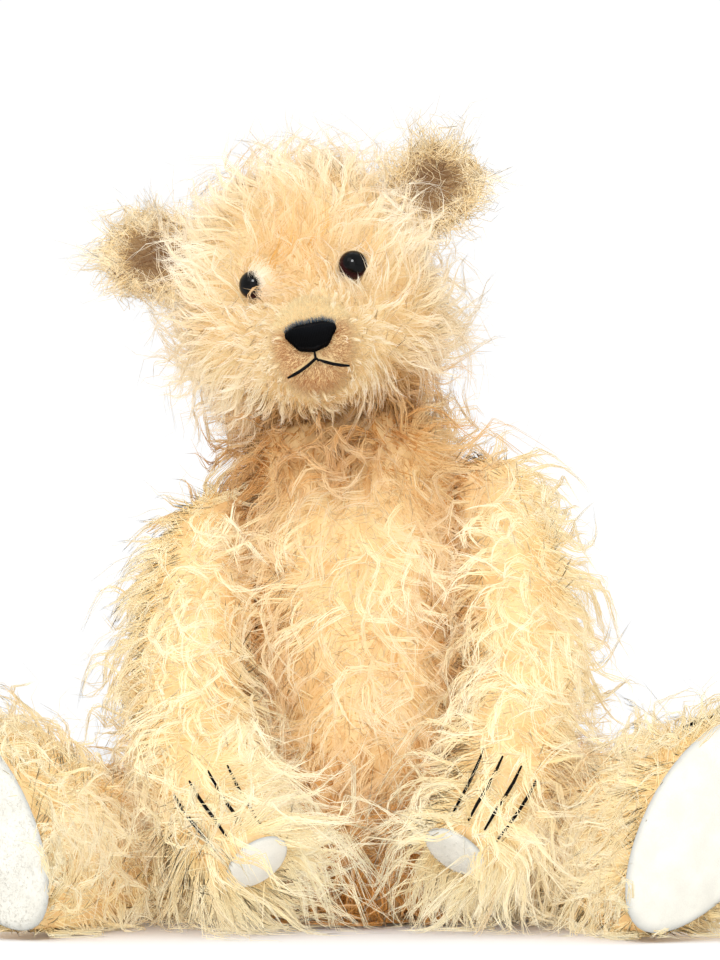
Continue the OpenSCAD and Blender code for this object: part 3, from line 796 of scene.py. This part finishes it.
def hang(part, name, shape, paths, normals, radius, tints, look):  # in pieces of less than 200,000 triangles
    batches = np.array_split(np.arange(len(paths)), math.ceil(len(paths) * len(shape[2]) / mostTriangles))
    body = part if part in bodyNames else "head"
    for i, some in enumerate(batches):
        label = f"{part}_{name}_{i + 1}" if len(batches) > 1 else f"{part}_{name}"
        piece = weaveFibres(label, shape, paths[some], normals[some], radius[some], tints[some],
                            look, body)
        piece.visible_shadow = piece.visible_diffuse = name.endswith("_dense")  # the rest lets light through
    print(f"  {part} {name}: {len(paths)} fibres, {len(paths) * len(shape[2])} triangles")


# the pile of the body
curls = {"levels": 5, "sides": 3, "hairs": 8, "length": 0.035, "uneven": 0.3, "radius": 0.00028,
         "lock": 0.0032, "tip": 0.08, "loose": 0.0007, "lift": 0.48, "fluff": 0.2, "droop": 0.25,
         "curl": 0.0066, "wave": 0.040, "swirl": 1.2, "swirlSize": 0.05, "stray": 0.22, "rise": 0.005,
         "density": 50000, "apart": 0.0049, "seed": 11}
crests = {"levels": 6, "sides": 3, "hairs": 6, "length": 0.043, "uneven": 0.25, "radius": 0.00028,
          "lock": 0.0017, "tip": 0.12, "loose": 0.0006, "lift": 0.58, "fluff": 0.28, "droop": 0.22,
          "curl": 0.0085, "wave": 0.044, "swirl": 1.2, "swirlSize": 0.05, "stray": 0.35, "rise": 0.009,
          "density": 11000, "apart": 0.0075, "seed": 11}
under = {"levels": 1, "sides": 3, "hairs": 1, "length": 0.015, "uneven": 0.3, "radius": 0.0006,
         "lift": 0.6, "fluff": 0.5, "droop": 0.2, "curl": 0.0, "wave": 0.02, "swirl": 1.0,
         "swirlSize": 0.05, "stray": 1.4, "rise": 0.002, "density": 260000, "apart": 0.0016, "seed": 12}
strays = {"levels": 5, "sides": 3, "hairs": 1, "length": 0.038, "uneven": 0.3, "radius": 0.00013,
          "lift": 0.8, "fluff": 0.6, "droop": 0.2, "curl": 0.005, "wave": 0.034, "swirl": 1.0,
          "swirlSize": 0.05, "stray": 0.6, "rise": 0.006, "density": 9000, "seed": 13}
bodyLayers = (("undercoat", under, 0.95), ("curls", curls, 1.0), ("crests", crests, 1.1),
              ("stray_hairs", strays, 1.0))  # with a share of the tint
ruffAt = {"height": (0.195, 0.240), "aside": (0.020, 0.045), "longer": 0.4, "turnUp": 1.5, "outward": 0.5}
flank = {"aside": (0.025, 0.050), "comb": 0.7}
# belly and seat are painted shade, deeper low on the front of the torso
torsoTone = {"base": 0.63, "front": (0.0, 0.6), "belly": 0.36, "bellyTop": (0.03, 0.15),
             "seat": 0.3, "seatTop": (0.015, 0.05)}


def ruff(roots):  # the fuller pile round the neck and over the shoulders
    aside = smoothStep(np.abs(roots[:, 0] - neck[0]), *ruffAt["aside"])
    return smoothStep(roots[:, 2], *ruffAt["height"]) * aside


def combTorso(roots):  # down the body and over its sides, and up into the ruff
    outward = unit(roots * np.array([1, 1, 0]))
    aside = smoothStep(np.abs(roots[:, :1]), *flank["aside"])
    sides = np.array([1, 0, 0]) * np.sign(roots[:, :1]) * aside * flank["comb"]
    up = ruff(roots)[:, None]
    return np.array([0, 0, -1.0]) * (1 - ruffAt["turnUp"] * up) + outward * up * ruffAt["outward"] + sides


def torsoReach(roots):
    return pressed("torso")(roots) * (1 + ruffAt["longer"] * ruff(roots))


def torsoTint(roots, normals):  # painted shade: deeper low down in front, over the belly and the seat
    front = smoothStep(-normals[:, 1], *torsoTone["front"])
    belly = torsoTone["belly"] * (1 - smoothStep(roots[:, 2], *torsoTone["bellyTop"]))
    seat = torsoTone["seat"] * (1 - smoothStep(roots[:, 2], *torsoTone["seatTop"]))
    return torsoTone["base"] - (belly + seat) * front


limbComb = {"inner": (0.008, 0.028), "top": (-0.05, 0.25), "out": 0.1, "in": 1.0, "up": 0.6, "down": -0.25,
            "give": 0.6, "far": (0.6, 0.92)}  # top and far are shares of the limb's length
limbPile = {"shoulder": 0.75, "more": 0.25, "below": (0.0, 0.2), "pale": 0.1}
limbEnds = {"left_arm": {"pad": "left_paw_pad", "streams": (-1.4, 0, -0.8), "longer": 0.35, "tint": 0.97},
            "right_arm": {"pad": "right_paw_pad", "streams": (2.6, 0, -0.2), "longer": 0.6, "tint": 1.0},
            "left_leg": {"pad": "left_foot_pad", "streams": (0, 0, 0), "longer": 0.0, "tint": 0.98},
            "right_leg": {"pad": "right_foot_pad", "streams": (0, 0, 0), "longer": 0.0, "tint": 0.90}}


def alongLimb(start, end):
    start, way = np.array(start), np.array(end - start)
    return lambda roots: (roots - start) @ way / (way @ way)


def combLimb(start, end, streams):  # over the joint at the top, along the limb, and streaming at its far end
    along, way, out = alongLimb(start, end), unit(np.array(end - start)), math.copysign(1, start.x)

    def comb(roots):
        place = along(roots)[:, None]
        inner = 1 - smoothStep((roots[:, :1] - start.x) * out, *limbComb["inner"])
        top = 1 - smoothStep(place, *limbComb["top"])
        over = np.array([out, 0, 0]) * (limbComb["out"] - limbComb["in"] * inner)
        over = over + np.array([0, 0, limbComb["up"]]) * inner
        far = smoothStep(place, *limbComb["far"])
        down = (way + np.array([0, 0, limbComb["down"]])) * (1 - limbComb["give"] * far)
        return down + over * top + np.array(streams) * far
    return comb


def limbReach(part, along, longer):  # shorter on the shoulder, longer towards the end
    def reach(roots):
        place = along(roots)
        shoulder = limbPile["shoulder"] + limbPile["more"] * smoothStep(place, *limbPile["below"])
        return pressed(part)(roots) * shoulder * (1 + longer * smoothStep(place, *limbComb["far"]))
    return reach


def limbTint(base, along):
    return lambda roots, normals: base + limbPile["pale"] * smoothStep(along(roots), *limbComb["far"])


bodyParts = {"torso": (combTorso, torsoReach, torsoTint)}
for part, ending in limbEnds.items():
    start, end = jointAt[part + "_swing"], boxMiddle(ending["pad"])
    along = alongLimb(start, end)
    reach, tint = limbReach(part, along, ending["longer"]), limbTint(ending["tint"], along)
    bodyParts[part] = (combLimb(start, end, ending["streams"]), reach, tint)

pawFringe = dict(curls, levels=6, length=0.046, lock=0.003, curl=0.0035, wave=0.05, lift=0.35, fluff=0.1,
                 droop=0.2, swirl=0.4, stray=0.25, density=90000, apart=0.0036, rise=0.0115)
pawStream = {"left_arm": np.array([-0.35, -0.3, -1.0]), "right_arm": np.array([1.0, -0.2, -0.3])}
fringeAt = {"before": (-0.002, 0.006), "inner": 1.0, "outer": 1.9, "depth": -0.022, "tint": 1.0}


def fringeDensity(part, amount):  # round the pad, on the side from which the pile streams over the felt
    plane = padPlanes[part]
    stream = pawStream[part] / np.linalg.norm(pawStream[part])

    def density(middles, normals):
        share, height = overPad(plane, middles)
        before = smoothStep(-(middles - plane["middle"]) @ stream, *fringeAt["before"])
        beside = (share > fringeAt["inner"]) * (share < fringeAt["outer"])
        return amount * before * beside * (height > fringeAt["depth"])
    return density


def combFringe(part):
    return lambda roots: np.broadcast_to(pawStream[part], roots.shape)


def fringeTint(roots, normals):
    return np.full(len(roots), fringeAt["tint"])


for part, (comb, reach, tint) in bodyParts.items():
    for name, style, share in bodyLayers:
        density = openDensity(part, style["density"])
        layPile(part, name, style, density, comb, reach, tintTimes(tint, share), bodyPile)
for part in pawStream:
    density = fringeDensity(part, pawFringe["density"])
    layPile(part, "fringe", pawFringe, density, combFringe(part), fullReach, fringeTint, bodyPile)
print("body pile laid")

# the pile of the head
headLocks = dict(curls, hairs=7, length=0.029, radius=0.00021, lock=0.0026, curl=0.0042, wave=0.034,
                 swirl=0.9, swirlSize=0.045, stray=0.22, lift=0.42, fluff=0.2, droop=0.3, density=70000,
                 apart=0.0035, rise=0.003)
headCrests = dict(crests, levels=6, hairs=5, length=0.033, radius=0.00022, lock=0.0012, curl=0.0055,
                  wave=0.036, swirl=0.9, swirlSize=0.045, stray=0.35, density=14000, apart=0.0058, rise=0.006)
headUnder = dict(under, length=0.012, swirl=0.4, density=300000, apart=0.0015, radius=0.0004, rise=0.001)
headStrays = dict(strays, length=0.030, swirl=0.6, density=14000)
headLayers = (("undercoat", headUnder, 0.8), ("locks", headLocks, 1.0), ("crests", headCrests, 1.15),
              ("stray_hairs", headStrays, 1.0))  # with a share of the tint
clipped = dict(under, levels=1, length=0.0024, radius=0.00016, curl=0.0, swirl=0.3, stray=0.35, lift=0.75,
               droop=0.0, rise=0.0, density=5000000, apart=0.0)
headFall = {"height": (-0.03, 0.03), "hang": (0, 0.15, -0.4), "back": (0, 0.1, 0)}
headLength = {"least": 0.14, "more": 0.86, "behind": 0.25}
headTone = {"base": 0.88, "warmToneAndPaintedShade": 0.72, "eyes": 0.85, "foreheadUp": 0.062, "foreheadBack": 0.018,
            "forehead": (0.010, 0.044), "eyeUp": 0.6, "eyeAside": 0.3, "eye": (0.004, 0.013)}
muzzleTone = {"base": 0.18, "more": 0.74, "bridge": (0.001, 0.009), "edge": 0.7}


def headDensity(amount):
    return lambda middles, normals: amount * smoothStep(awayFromMuzzle(middles), clip["near"], clip["far"])


def muzzleDensity(amount):
    return lambda middles, normals: amount * (1 - smoothStep(
        awayFromMuzzle(middles), clip["stubble"], clip["past"]))


def combHead(roots):  # away from the muzzle, and hanging at the cheeks and the chin
    low = 1 - smoothStep((roots - np.array(muzzle)) @ upWay, *headFall["height"])
    hanging = np.array(headFall["hang"]) * low[:, None]
    return unit(roots - np.array(muzzle)) + hanging + np.array(headFall["back"])


def headReach(roots):
    away = awayFromMuzzle(roots)
    reach = headLength["least"] + headLength["more"] * smoothStep(away, clip["near"], clip["long"])
    return reach + headLength["behind"] * smoothStep(away, clip["long"], clip["longest"])


def headTint(roots, normals):  # warm forehead, pale cheeks, painted shade over the eyes
    forehead = np.array(muzzle + faceUp * headTone["foreheadUp"] - faceFront * headTone["foreheadBack"])
    warmToneAndPaintedShade = 1 - smoothStep(np.linalg.norm(roots - forehead, axis=1), *headTone["forehead"])
    return headTone["base"] - headTone["warmToneAndPaintedShade"] * warmToneAndPaintedShade - headTone["eyes"] * eyeShade(roots)


def eyeShade(roots):  # the shade over and beside each eye
    away = []
    for middle, ball in eyes.values():
        spot = middle + faceUp * headTone["eyeUp"] * ball + faceSide * headTone["eyeAside"] * ball
        away.append(np.linalg.norm(roots - np.array(spot), axis=1))
    return 1 - smoothStep(np.min(away, axis=0), *headTone["eye"])


def muzzleTint(roots, normals):  # pale on the bridge, tan on the sides and the chin
    bridge = smoothStep((roots - np.array(noseMiddle)) @ upWay, *muzzleTone["bridge"])
    edge = smoothStep(awayFromMuzzle(roots), clip["near"], clip["past"])
    return muzzleTone["base"] + muzzleTone["more"] * np.maximum(bridge, muzzleTone["edge"] * edge)


# reaches of the lid are in radii of the ball, and radius is that of a hair
lid = {"hairs": 420, "root": (1.12, 2.4), "back": -0.6, "open": 1.0, "closed": 0.4, "uneven": (-0.1, 0.25),
       "spread": 0.6, "shut": (0.0, 0.75), "dome": 1.2, "flattest": 0.1, "loose": (-0.1, 0.3),
       "bendLeast": 1.2, "bend": 0.95, "bendMore": 0.1, "arch": 1.5, "swerve": 0.5, "radius": 0.00018,
       "levels": 5, "sides": 3, "tint": 0.74, "soft": 0.3}


def layLid(side):  # pile that leans over the glass from one side
    shape = fibreShape(lid["levels"], lid["sides"])
    t = (np.arange(lid["levels"] + 1) / lid["levels"])[None]
    count = lid["hairs"]
    middle, ball = eyes[side]
    over = np.array(lidSide[side])
    over = unit(over - frontWay * (over @ frontWay))
    turn = rng.normal(0, lid["spread"], count)
    shut = smoothStep(np.cos(turn), *lid["shut"])
    wide = rng.uniform(*lid["root"], count)[:, None]
    narrow = lid["open"] + (lid["closed"] - lid["open"]) * shut + rng.uniform(*lid["uneven"], count)
    narrow = narrow[:, None]
    high = np.sqrt(np.maximum(lid["dome"] - narrow ** 2, lid["flattest"]))
    high = high + rng.uniform(*lid["loose"], count)[:, None]
    bend = np.maximum(wide, lid["bendLeast"]) * lid["bend"] + lid["bendMore"]
    out = wide * (1 - t) ** 2 + bend * 2 * t * (1 - t) + narrow * t ** 2
    ahead = lid["back"] * (1 - t) ** 2 + high * lid["arch"] * t * (1 - t) + high * t ** 2
    turn = turn[:, None] + lid["swerve"] * rng.normal(size=count)[:, None] * t
    around = np.cos(turn)[:, :, None] * over + np.sin(turn)[:, :, None] * np.cross(frontWay, over)
    paths = np.array(middle) + ball * (out[:, :, None] * around + ahead[:, :, None] * frontWay)
    facing = unit(around[:, 1] + frontWay)
    tints = tintOf(paths[:, 0], np.full(count, lid["tint"]))
    radius = lid["radius"] * rng.uniform(*evenHairs, count)
    hang("head", side + "_lid", shape, paths, facing, radius, tints, (headPile, fibreWidth, lid["soft"]))


# the pile of the ears
earLocks = dict(headLocks, levels=4, hairs=3, length=0.021, uneven=0.45, lock=0.0034, tip=0.9, loose=0.002,
                density=400000, apart=0.0013, lift=0.45, curl=0.0042, wave=0.026, stray=0.75, swirl=0.5,
                droop=0.1, rise=0.003)
earUnder = dict(headUnder, length=0.010, density=700000, apart=0.0010, radius=0.00035)
earStrays = dict(headStrays, length=0.026, density=40000)
# the brown of the cup is partly the pile's own colour and partly painted shade
earCup = {"rim": (0.009, 0.018), "front": (-0.3, 0.3), "pale": 0.95, "brown": 0.9, "thin": 0.85}
earLength = {"least": 0.5, "more": 0.5, "out": (0.008, 0.018)}
earFan = {"out": 1.2, "offHead": 0.6}


def fromMiddle(roots):  # distance from the middle of the ear
    return np.linalg.norm(roots - roots.mean(axis=0), axis=1)


def cup(roots, normals):  # 1 in the cup of an ear, 0 at its rim and behind it
    rim = smoothStep(fromMiddle(roots), *earCup["rim"])
    return (1 - rim) * (1 - smoothStep(normals @ -frontWay, *earCup["front"]))


def earTint(roots, normals):  # brown in the cup, partly from darker pile and partly painted shade; pale at the rim and behind
    return earCup["pale"] - earCup["brown"] * cup(roots, normals)


def earDensity(amount):  # long pile only round the cup
    return lambda middles, normals: amount * (1 - earCup["thin"] * cup(middles, normals))


def earReach(roots):
    return earLength["least"] + earLength["more"] * smoothStep(fromMiddle(roots), *earLength["out"])


def combEar(roots):  # out from the middle of the ear
    offHead = unit(roots - np.array(boxMiddle("head")))
    return unit(roots - roots.mean(axis=0)) * earFan["out"] + offHead * earFan["offHead"]


for name, style, share in headLayers:
    density = headDensity(style["density"])
    layPile("head", name, style, density, combHead, headReach, tintTimes(headTint, share), headPile)
layLid("right")
density = muzzleDensity(clipped["density"])
layPile("head", "clipped_muzzle", clipped, density, combHead, fullReach, muzzleTint, muzzlePile)
for ear in earNames:
    density = evenDensity(earUnder["density"])
    layPile(ear, "undercoat", earUnder, density, combEar, fullReach, earTint, earPile)
    for name, style in (("locks", earLocks), ("stray_hairs", earStrays)):
        layPile(ear, name, style, earDensity(style["density"]), combEar, earReach, earTint, earPile)
print("head pile laid")

# glass eyes
eyeBall = {"around": 48, "rings": 32}


def makeEye(side):
    middle, radius = eyes[side]
    bm = bmesh.new()
    bm.loops.layers.uv.new("eyeRound")
    bmesh.ops.create_uvsphere(bm, u_segments=eyeBall["around"], v_segments=eyeBall["rings"], radius=radius,
                              calc_uvs=True)
    turn = lookOf[side].to_track_quat("Z", "Y").to_matrix().to_4x4()
    bmesh.ops.transform(bm, matrix=Matrix.Translation(middle) @ turn, verts=bm.verts)
    eye = addPiece(side + "_glass_eye", bm, eyeGlass, "head")
    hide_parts(side + "_eye")


for side in eyes:
    makeEye(side)
print("eyes set")

# felt pads, crowned over the filling behind them
pad = {"half": 0.0012, "footCrown": 0.004, "pawCrown": 0.0018, "rings": 28, "corners": 96, "flat": 6}
feltNap = dict(clipped, length=0.0014, radius=0.00012, lift=0.5, stray=0.9, density=900000)
# the grey at the rim of the nap is painted shade
napTone = {"front": 0.2, "pale": 0.7, "grey": 0.5, "edge": (0.84, 0.98), "soft": 0.95}


def makePad(node, limb, crown):
    plane = padPlanes[limb]
    long, wide, out = plane["axes"]
    bm = bmesh.new()
    bm.loops.layers.uv.new("padRound")
    bmesh.ops.create_uvsphere(bm, u_segments=pad["corners"], v_segments=pad["rings"], radius=1, calc_uvs=True)
    bm.verts.index_update()
    corners = len(bm.verts)  # the order of the faces varies from run to run, so they are sorted
    bm.faces.sort(key=lambda face: face.verts[0].index * corners + face.verts[1].index)
    for vert in bm.verts:
        s = min(1.0, math.hypot(vert.co.x, vert.co.y))
        edge = padEdge(plane, math.atan2(vert.co.y, vert.co.x))
        bulge = math.copysign(pad["half"] * (1 - s ** pad["flat"]) ** 0.5, vert.co.z)
        if vert.co.z > 0:
            bulge += crown * (1 - s * s)
        vert.co = Vector(plane["middle"] + (long * vert.co.x + wide * vert.co.y) * edge + out * bulge)
    bmesh.ops.recalc_face_normals(bm, faces=bm.faces)
    piece = addPiece(node + "_felt", bm, felt, limb)
    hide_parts(node)
    roots, normals = scatter(piece, evenDensity(feltNap["density"]))
    front = normals @ out > napTone["front"]
    roots, normals = roots[front], normals[front]
    comb = np.broadcast_to(long, roots.shape)
    paths = growLocks(feltNap, roots, normals, comb, fullReach(roots), nearTree(piece.data))
    # painted shade: the nap turns greyer towards the pad's rim
    rim = smoothStep(overPad(plane, roots)[0], *napTone["edge"])
    tints = tintOf(roots, napTone["pale"] - napTone["grey"] * rim)
    radius = feltNap["radius"] * rng.uniform(*evenHairs, len(roots))
    shape = fibreShape(feltNap["levels"], feltNap["sides"])
    look = (feltPile, fibreWidth, napTone["soft"])
    weaveFibres(node + "_nap", shape, paths, normals, radius, tints, look, limb)


for side in bothSides:
    makePad(side + "_foot_pad", side + "_leg", pad["footCrown"])
    makePad(side + "_paw_pad", side + "_arm", pad["pawCrown"])
print("pads laid")

# the stitched nose over its CAD form, the fuzz on it, and the mouth
stitch = {"gap": 0.0008, "radius": 0.00052, "levels": 6, "sides": 5, "halfWidth": 0.014, "halfHeight": 0.011,
          "step": 0.0004, "past": 0.0001, "before": 0.02, "through": 0.03, "fewest": 3, "tints": (0.05, 0.95)}
fuzz = {"each": 16, "length": (0.0014, 0.0036), "radius": 0.00008, "levels": 3, "sides": 3, "back": 0.12,
        "stray": 0.3, "tints": (0.3, 0.7), "soft": 0.5, "seed": 5}
mouthJoin = {"overlap": 0.0006, "proud": 0.0007, "radius": 0.0006, "tint": 0.5, "decimals": 6}


def makeNose():
    tree = nearTree(nodes["nose"].data)
    rows = []
    for across in np.arange(-stitch["halfWidth"], stitch["halfWidth"] + stitch["past"], stitch["gap"]):
        hits = []
        for up in np.arange(-stitch["halfHeight"], stitch["halfHeight"] + stitch["past"], stitch["step"]):
            start = noseMiddle + faceSide * across + faceUp * up + faceFront * stitch["before"]
            hit = tree.ray_cast(start, -faceFront, stitch["through"])[0]
            if hit is not None:
                hits.append(np.array(hit))
        if len(hits) > stitch["fewest"]:
            steps = np.linspace(0, len(hits) - 1, stitch["levels"] + 1)
            rows.append([hits[int(round(s))] for s in steps])
    paths = np.array(rows)
    shape = fibreShape(stitch["levels"], stitch["sides"])
    radius = np.full(len(paths), stitch["radius"])
    tints = np.linspace(*stitch["tints"], len(paths))
    facing = np.tile(frontWay, (len(paths), 1))
    look = (flossPile, threadWidth, 0.0)
    weaveFibres("nose_stitches", shape, paths, facing, radius, tints, look, "head")
    growFuzz(paths[:, -1])


def growFuzz(tops):  # grey-blue fibres that stand up along the top of the nose
    draw = np.random.default_rng(fuzz["seed"])
    roots = np.repeat(tops, fuzz["each"], axis=0)
    count = len(roots)
    roots = roots + draw.uniform(-0.5, 0.5, count)[:, None] * stitch["gap"] * sideWay
    way = np.array(faceUp - faceFront * fuzz["back"]) + fuzz["stray"] * draw.normal(size=(count, 3))
    reach = draw.uniform(*fuzz["length"], count)[:, None, None]
    t = np.linspace(0, 1, fuzz["levels"] + 1)[None, :, None]
    paths = roots[:, None] + unit(way)[:, None] * reach * t
    shape = fibreShape(fuzz["levels"], fuzz["sides"])
    radius = fuzz["radius"] * draw.uniform(*evenHairs, count)
    tints = draw.uniform(*fuzz["tints"], count)
    facing = np.tile(frontWay, (count, 1))
    look = (fuzzPile, fibreWidth, fuzz["soft"])
    weaveFibres("nose_fuzz", shape, paths, facing, radius, tints, look, "head")


def joinMouth():  # a stitch across the gap between the two lines of the mouth
    spots, _, triangles = meshArrays(nodes["mouth"].data)
    spots, same = np.unique(np.round(spots, mouthJoin["decimals"]), axis=0, return_inverse=True)
    triangles, label = same.ravel()[triangles], np.arange(len(spots))
    for _ in range(len(spots)):
        lower = label.copy()
        np.minimum.at(lower, triangles.ravel(), np.repeat(label[triangles].min(axis=1), 3))
        if (lower == label).all():
            break
        label = lower
    first, second = (spots[label == k] for k in np.unique(label))
    apart = np.linalg.norm(first[:, None] - second[None], axis=2)
    i, k = np.unravel_index(apart.argmin(), apart.shape)
    more = unit(second[k] - first[i]) * mouthJoin["overlap"]
    path = np.linspace(first[i] - more, second[k] + more, stitch["levels"] + 1)
    path = path + frontWay * mouthJoin["proud"]
    shape = fibreShape(stitch["levels"], stitch["sides"])
    radius, tints = np.array([mouthJoin["radius"]]), np.array([mouthJoin["tint"]])
    look = (floss, threadWidth, 0.0)
    weaveFibres("mouth_stitch", shape, path[None], frontWay[None], radius, tints, look, "head")
    print("  mouth gap", round(apart.min() * 1000, 2), "mm")


makeNose()
joinMouth()

# finishes of the CAD nodes that show or lie inside
finishes = {"nose": floss, "mouth": floss, "_claws": floss, "_disc": hardboard,
            "_bolt": zinc, "_nut": zinc, "_washers": zinc}
for name, node in nodes.items():
    for ending, finish in finishes.items():
        if name.endswith(ending):
            node.data.materials.clear()
            node.data.materials.append(finish)
print("nose, mouth and claws stitched")

# studio
studio = {"lens": 87.5, "sensor": 24, "camera": (-0.005, -1.75, 0.110), "tilt": 3.565, "floor": 6,
          "paper": (0.9, 0.9, 0.9, 1), "paperRoughness": 0.9, "aim": (0, 0, 0.18), "sky": 1.03}
camera = bpy.data.cameras.new("camera")
camera.lens, camera.sensor_width = studio["lens"], studio["sensor"]
cameraObject = bpy.data.objects.new("camera", camera)
cameraObject.location = studio["camera"]
cameraObject.rotation_euler = (math.radians(90 + studio["tilt"]), 0, 0)
bpy.context.scene.collection.objects.link(cameraObject)
bpy.context.scene.camera = cameraObject

bm = bmesh.new()
bmesh.ops.create_grid(bm, x_segments=1, y_segments=1, size=studio["floor"])
floorMesh = bpy.data.meshes.new("floor")
bm.to_mesh(floorMesh)
bm.free()
floor = bpy.data.objects.new("floor", floorMesh)
bpy.context.scene.collection.objects.link(floor)
paper = newMaterial("white_floor", Base_Color=studio["paper"], Roughness=studio["paperRoughness"])[0]
floorMesh.materials.append(paper)
floor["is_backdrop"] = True

lamps = {"key": {"place": (-0.9, -1.3, 1.5), "size": 1.0, "power": 4.5},
         "spark": {"place": (-0.2, -1.7, 1.2), "size": 0.28, "power": 6.5},
         "glint": {"place": (-0.2, -1.7, 1.2), "size": 0.5, "power": 40},
         "fill": {"place": (1.3, -1.0, 0.9), "size": 1.2, "power": 1.0},
         "front": {"place": (-0.2, -1.8, 0.4), "size": 1.4, "power": 4.5},
         "top": {"place": (0.1, 0.6, 1.7), "size": 1.2, "power": 4}}
for name, given in lamps.items():
    lamp = bpy.data.lights.new(name, "AREA")
    lamp.size, lamp.energy = given["size"], given["power"]
    lampObject = bpy.data.objects.new(name, lamp)
    lampObject.visible_diffuse = name != "glint"  # this one only shines in the glass
    lampObject.location = given["place"]
    towards = Vector(studio["aim"]) - Vector(given["place"])
    lampObject.rotation_euler = towards.to_track_quat("-Z", "Y").to_euler()
    bpy.context.scene.collection.objects.link(lampObject)

world = bpy.data.worlds.new("studio")
bpy.context.scene.world = world
world.use_nodes = True
world.node_tree.nodes["Background"].inputs[0].default_value = (1, 1, 1, 1)
world.node_tree.nodes["Background"].inputs[1].default_value = studio["sky"]
bpy.context.scene.view_settings.view_transform = "Standard"

shown = [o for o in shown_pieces() if o.type == "MESH"]
print("pieces", len(shown), "triangles", sum(len(o.data.polygons) for o in shown))
